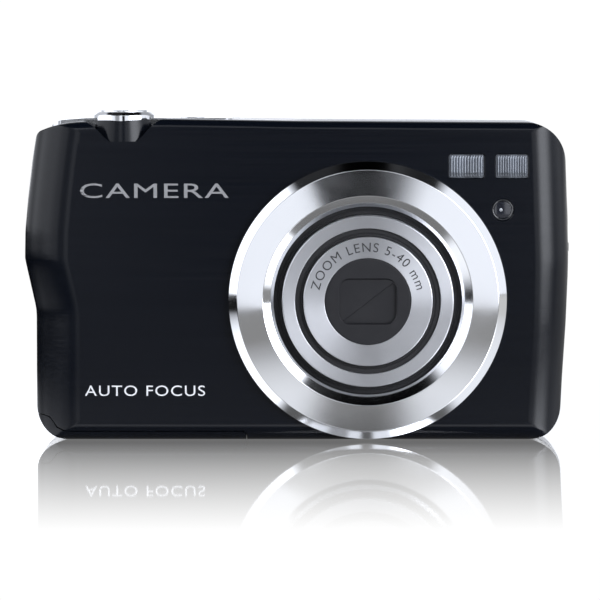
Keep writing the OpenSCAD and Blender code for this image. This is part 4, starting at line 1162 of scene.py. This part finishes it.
class CAMERA_OT_back(Operator):
    """Screen window, the four-way keys with the middle key, two round keys and the zoom rocker"""
    bl_idname = "compact.back"
    bl_label = "Back controls"

    def execute(self, context):
        material = key_finish()
        low, high = limits("screen_glass")
        glass = plate(node_outline("screen_glass", 2), low[1] - BACK_Y, high[1] - BACK_Y, 0.12, on_back)
        finish_piece(glass, "screen_window", "camera", ["screen_glass"], screen_finish())
        self.quarters(material)
        inner_low = limits("key_ok")[0][1] - BACK_Y
        proud = limits("key_ok")[1][1] - BACK_Y
        self.round_key("key_ok", "ok_key", 0.0, inner_low, proud, material)
        self.round_key("key_menu", "menu_key", 0.6, inner_low, proud, material)
        self.round_key("key_play", "play_key", 0.6, inner_low, proud, material)
        self.rocker(material)
        return {"FINISHED"}

    def round_key(self, node, body, flange, low, proud, material):
        """A key turned from a rod: a flange inside, a rounded rim and a slightly dished face."""
        spot = middle(node)
        r = half_width(node) - flange
        at = lambda a, b, h: on_back(spot[0] + a, spot[2] + b, h)
        corners = [(0, low, 0), (r, low, 0)]
        if flange:
            corners += [(r, low + 0.3, 0), (r + flange, low + 0.3, 0), (r + flange, -1.3, 0), (r, -1.3, 0)]
        corners += [(r, proud, 0.2), (r - 0.35, proud, 0.15), (r * 0.5, proud - 0.06, 2),
                    (0, proud - 0.09, 0)]
        key = lathe("key", corners, at, False, 96, 12)
        finish_piece(key, node + "_cap", body, [node], material)

    def quarters(self, material):
        """Each way key is a quarter of a ring round the middle key, with a printed dart on it."""
        r0, r1 = 3.25, limits("key_up")[1][2] - PAD_Z - 0.6
        half, slit = math.radians(45), 0.1
        a1 = np.linspace(-half + math.asin(slit / r1), half - math.asin(slit / r1), 25)
        a0 = np.linspace(half - math.asin(slit / r0), -half + math.asin(slit / r0), 13)
        edge = np.concatenate([np.stack([r * np.cos(a), r * np.sin(a)], 1) for r, a in ((r1, a1), (r0, a0))])
        mark_r = 0.62 * r1 + 0.38 * r0 + 0.4
        dart = np.array([(mark_r + 0.7, 0), (mark_r - 0.25, 0.62), (mark_r - 0.25, -0.62)])
        for quarter, way in enumerate(("right", "up", "left", "down")):
            node, body = "key_" + way, way + "_key"
            t = math.radians(90 * quarter)
            turn = np.array([(math.cos(t), math.sin(t)), (-math.sin(t), math.cos(t))])
            low, high = limits(node)
            top = high[1] - BACK_Y
            key = plate(edge @ turn + (PAD_X, PAD_Z), low[1] - BACK_Y, top, 0.18, on_back)
            finish_piece(key, node + "_cap", body, [node], material)
            mark = prism(dart @ turn + (PAD_X, PAD_Z), top - 0.02, top + 0.015, on_back)
            finish_piece(mark, node + "_mark", body, [],
                         print_finish("key mark", look().dark_print))

    def rocker(self, material):
        """The zoom rocker: its face rises towards both ends, height = 0.6 - 0.28 * (1 - (x / half)^2)."""
        low, high = limits("zoom_rocker")
        outline = CAMERA_OT_covers.rocker_outline(0)
        outline = spaced(outline, 0.5)
        proud = high[1] - BACK_Y
        spot = middle("zoom_rocker")
        half = (high[0] - low[0] - 1) / 2
        a = np.linspace(0, math.pi / 2, 6)
        rows = [(0, low[1] - BACK_Y)]
        rows += [(0.3 * (1 - math.cos(t)), proud - 0.3 * (1 - math.sin(t))) for t in a]
        rows += [(across, proud) for across in (0.7, 1.2, 1.7, 2.2)]
        grid = carried(outline, rows, on_back)
        u = np.clip((grid[..., 0] - spot[0]) / half, -1, 1)
        sink = 0.28 * (1 - u ** 2)
        grid[1:, :, 1] -= sink[1:]
        thing = make_mesh("rocker", [grid])
        finish_piece(thing, "zoom_rocker_cap", "rocker", ["zoom_rocker"], material, 40)


class CAMERA_OT_side(Operator):
    """The lid over the sockets, with its finger nub"""
    bl_idname = "compact.side"
    bl_label = "Side lid"

    def execute(self, context):
        low, high = limits("port_cover")
        y0, y1 = low[1] + 0.8, high[1] - 0.8
        thick = 1.2
        outline = rectangle(y1 - y0, high[2] - low[2], 0.28, ((y0 + y1) / 2, (low[2] + high[2]) / 2))
        lid = plate(outline, RIGHT - 0.2 - thick, RIGHT - 0.12, 0.1, on_side)
        middle_y = (y0 + y1) / 2
        bar = rectangle(3, 1.8, 0.5, (middle_y, low[2] + 2.4))
        nub = plate(bar, RIGHT - 0.6, high[0], 0.3, on_side)
        rod = prism(circle(0.33, 32, (high[0] - 0.45 - 0.8, high[2] - 0.6)),
                    FACE_Y - high[1], FACE_Y - low[1], on_front)
        combine(lid, [nub, rod], "UNION")
        finish_piece(lid, "socket_lid", "flap", ["port_cover"],
                     rubber_finish("black lid rubber", 0.03))
        return {"FINISHED"}


class CAMERA_OT_print(Operator):
    """Plain words on the front"""
    bl_idname = "compact.print"
    bl_label = "Printing"

    def execute(self, context):
        ink = print_finish("light print", look().light_print)
        title = lettering("words", "CAMERA", 3.6, 1.1,
                          lambda a, b, h: on_front(LEFT + 22.7 + a, TALL - 12.6 + b, h), 0.02, 1.72)
        finish_piece(title, "upper_words", "camera", [], ink)
        small = lettering("words", "AUTO FOCUS", 2.6, 1.12,
                          lambda a, b, h: on_front(LEFT + 21.2 + a, 8.6 + b, h), 0.02, 1.18)
        finish_piece(small, "lower_words", "camera", [],
                     print_finish("white print", (0.85, 0.86, 0.88)))
        return {"FINISHED"}


class CAMERA_OT_works(Operator):
    """Finishes for the pieces inside and the small metal pieces outside"""
    bl_idname = "compact.works"
    bl_label = "Inner works"

    def execute(self, context):
        steel = metal_finish("bare steel", (0.55, 0.56, 0.58))
        bright = metal_finish("bright pin steel", (0.66, 0.67, 0.69), 0.2)
        brass = metal_finish("brass", (0.75, 0.6, 0.3), 0.25)
        copper = metal_finish("copper winding", (0.72, 0.4, 0.25), 0.35)
        cam = metal_finish("grey anodised cam", (0.3, 0.31, 0.33), 0.35)
        black = moulded_finish("black moulding", (0.02, 0.02, 0.023))
        sleeve = glossy_finish("capacitor sleeve", (0.02, 0.02, 0.035), 0.2, 0.3)
        cell = moulded_finish("battery wrap", (0.08, 0.085, 0.1), 0.35)
        finishes = {
            "inner_frame": steel, "case_screws": bright, "lens_housing": black, "lens_base": black,
            "cam_ring": cam, "idler_gear": brass, "motor_pinion": brass, "zoom_motor": steel,
            "front_lens": glass_finish("front lens glass", (0.75, 0.78, 0.9)),
            "zoom_lens": glass_finish("zoom lens glass", (0.8, 0.85, 0.85)),
            "focus_lens": glass_finish("focus lens glass", (0.85, 0.8, 0.85)),
            "zoom_cell": black, "focus_carriage": black, "focus_drive": copper, "focus_rods": bright,
            "ir_filter": glass_finish("filter glass", (0.6, 0.85, 0.8)),
            "image_sensor": glossy_finish("sensor package", (0.05, 0.04, 0.06), 0.1, 0.6),
            "flash_reflector": metal_finish("bright reflector", (0.88, 0.89, 0.9), 0.1),
            "flash_tube": glass_finish("flash tube glass", (0.9, 0.9, 0.88)), "flash_capacitor": sleeve,
            "main_board": board_finish(), "top_board": board_finish(), "key_board": board_finish(),
            "screen_panel": glossy_finish("screen panel", (0.03, 0.03, 0.035), 0.15, 0.4),
            "battery": cell, "battery_case": black, "door_pin": bright,
            "memory_card": moulded_finish("card plastic", (0.03, 0.035, 0.06)), "card_slot": steel,
            "usb_socket": steel, "strap_bar": bright, "tripod_socket": brass}
        for node, material in finishes.items():
            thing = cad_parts[node]
            thing.data.materials.clear()
            thing.data.materials.append(material)
        return {"FINISHED"}


class CAMERA_OT_stage(Operator):
    """Pale floor, soft surroundings and the viewing camera"""
    bl_idname = "compact.stage"
    bl_label = "Stage"

    def execute(self, context):
        self.floor()
        self.surroundings(context.scene)
        self.viewer(context.scene)
        context.scene.view_settings.view_transform = "Standard"
        return {"FINISHED"}

    def floor(self):
        """A white sheet with the object's mirror image in it, which fades with distance from the object.

        In the object's own reflections the sheet is dim on the left and ahead, and brighter close by.
        """
        half, ahead, behind = 1.6, -0.3, 2.6
        corners = [(-half, ahead, 0), (half, ahead, 0), (half, behind, 0), (-half, behind, 0)]
        mesh = bpy.data.meshes.new("floor")
        mesh.from_pydata(corners, [], [(0, 1, 2, 3)])
        thing = bpy.data.objects.new("floor", mesh)
        bpy.context.scene.collection.objects.link(thing)
        material = bpy.data.materials.new("pale floor")
        material.use_nodes = True
        tree = material.node_tree
        tree.nodes.remove(tree.nodes["Principled BSDF"])
        coords = add_node(tree, "TexCoord").outputs["Object"]
        parts = add_node(tree, "SeparateXYZ", {"Vector": coords})
        by_x = ramp(tree, parts.outputs["X"], (-0.07, -0.055), (0.01, 1.0))
        by_y = ramp(tree, parts.outputs["Y"], (-0.1, -0.05), (0.27, 0.62))
        strength = add_node(tree, "Math", {0: by_x, 1: by_y}, operation="MULTIPLY").outputs["Value"]
        glow = add_node(tree, "Emission", {"Strength": strength}).outputs[0]
        white = add_node(tree, "Emission", {"Strength": 1.02}).outputs[0]
        seen = add_node(tree, "LightPath").outputs["Is Camera Ray"]
        plain = add_node(tree, "MixShader", {0: seen, 1: glow, 2: white}).outputs[0]
        mirror = add_node(tree, "BsdfGlossy", {"Roughness": 0.03, "Color": (1, 1, 1, 1)}).outputs[0]
        away = coords
        for operation, other in (("ABSOLUTE", None), ("SUBTRACT", (-LEFT * MM, BACK_Y * MM, 0)),
                                 ("MAXIMUM", (0, 0, 0))):
            inputs = {0: away, 1: other} if other else {0: away}
            away = add_node(tree, "VectorMath", inputs, operation=operation).outputs["Vector"]
        distance = add_node(tree, "VectorMath", {0: away}, operation="LENGTH").outputs["Value"]
        fade = ramp(tree, distance, (0.0, 0.125), (0.86, 0.0))
        whole = add_node(tree, "MixShader", {0: fade, 1: plain, 2: mirror}).outputs[0]
        tree.links.new(whole, tree.nodes["Material Output"].inputs["Surface"])
        mesh.materials.append(material)

    def surroundings(self, scene):
        """A studio of large soft panels, whose brightness depends on a direction's angle and height.

        The sum of the steps round the sides, times a flag at the back, is cut off above level and dimmed
        ahead above shade. A narrow brow panel ahead is added.
        """
        world = bpy.data.worlds.new("studio")
        scene.world = world
        world.use_nodes = True
        tree = world.node_tree
        split = add_node(tree, "SeparateXYZ", {"Vector": add_node(tree, "TexCoord").outputs["Generated"]})

        def maths(operation, *values):
            return add_node(tree, "Math", dict(enumerate(values)), operation=operation).outputs["Value"]

        def eased(value, low, high, first, last):
            return ramp(tree, value, (low, high), (first, last), True)

        def swung(angle, low, high, first, last):
            return eased(angle, math.radians(low), math.radians(high), first, last)

        x, y, z = (split.outputs[axis] for axis in "XYZ")
        azimuth = maths("ARCTAN2", x, maths("MULTIPLY", y, -1.0))
        off_axis = maths("ABSOLUTE", azimuth)
        # Each step runs between two angles, in degrees from straight ahead, with +X positive
        panels = swung(azimuth, -5, -3.8, 1.05, 0.012)
        for step in ((3, 7.5, 0.0, 1.05), (17, 34, 0.0, 5.6), (45, 75, 0.0, -5.6), (-62, -38, 0.7, 0.0),
                     (-36, -28, 0.0, -0.7), (-17, -13, 0.0, 0.7)):
            panels = maths("ADD", panels, swung(azimuth, *step))
        flag = maths("ADD", swung(off_axis, 100, 125, 1.0, 0.35), swung(off_axis, 150, 170, 0.0, 0.65))
        panels = maths("MULTIPLY", panels, flag)
        level = eased(z, 0.76, 0.84, 1.0, 0.015)
        shade = maths("MULTIPLY", eased(z, 0.5, 0.62, 0.0, 1.0), swung(off_axis, 50, 65, 1.0, 0.0))
        sides = maths("MULTIPLY", maths("MULTIPLY", panels, level), maths("SUBTRACT", 1.0, shade))
        brow = maths("MULTIPLY", eased(z, 0.43, 0.5, 0.0, 1.4), eased(z, 0.58, 0.66, 1.0, 0.0))
        brow = maths("MULTIPLY", brow, swung(off_axis, 8, 30, 1.0, 0.0))
        seen = add_node(tree, "LightPath").outputs["Is Camera Ray"]
        factor, light, direct = 0, 2, 3
        inputs = {factor: seen, light: maths("ADD", sides, brow), direct: 1.12}
        mixed = add_node(tree, "Mix", inputs, data_type="FLOAT").outputs[0]
        back = tree.nodes["Background"]
        tree.links.new(mixed, back.inputs["Strength"])
        back.inputs["Color"].default_value = (0.94, 0.97, 1.04, 1)

    def viewer(self, scene):
        """A long lens on the front, a little above level. Its places are in metres."""
        eye = bpy.data.cameras.new("viewer")
        eye.sensor_width = 36
        eye.lens = 243.7
        thing = bpy.data.objects.new("viewer", eye)
        scene.collection.objects.link(thing)
        distance, rise = 0.7, math.radians(3.7)
        target = np.array([0.0004, FACE_Y * MM, 0.0244])
        thing.location = target + distance * np.array([0, -math.cos(rise), math.sin(rise)])
        thing.rotation_euler = (math.pi / 2 - rise, 0, 0)
        scene.camera = thing


STEPS = (CAMERA_OT_covers, CAMERA_OT_lens, CAMERA_OT_windows, CAMERA_OT_top, CAMERA_OT_back, CAMERA_OT_side,
         CAMERA_OT_print, CAMERA_OT_works, CAMERA_OT_stage)


class CAMERA_PT_panel(Panel):
    """Lists the sizes, colours and steps"""
    bl_idname = "CAMERA_PT_panel"
    bl_label = "Compact camera"
    bl_space_type = "VIEW_3D"
    bl_region_type = "UI"
    bl_category = "Camera"

    def draw(self, context):
        for group in (context.scene.camera_sizes, context.scene.camera_colours):
            box = self.layout.box()
            for name in group.bl_rna.properties.keys():
                if name not in ("rna_type", "name"):
                    box.prop(group, name)
        for step in STEPS:
            self.layout.operator(step.bl_idname)


CLASSES = (CameraSizes, CameraColours) + STEPS + (CAMERA_PT_panel,)


def register():
    for item in CLASSES:
        bpy.utils.register_class(item)
    bpy.types.Scene.camera_sizes = PointerProperty(type=CameraSizes)
    bpy.types.Scene.camera_colours = PointerProperty(type=CameraColours)


def unregister():
    del bpy.types.Scene.camera_colours
    del bpy.types.Scene.camera_sizes
    for item in reversed(CLASSES):
        bpy.utils.unregister_class(item)


def main():
    register()
    for step in STEPS:
        group, name = step.bl_idname.split(".")
        getattr(getattr(bpy.ops, group), name)()
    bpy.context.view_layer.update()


if __name__ == "__main__":
    main()
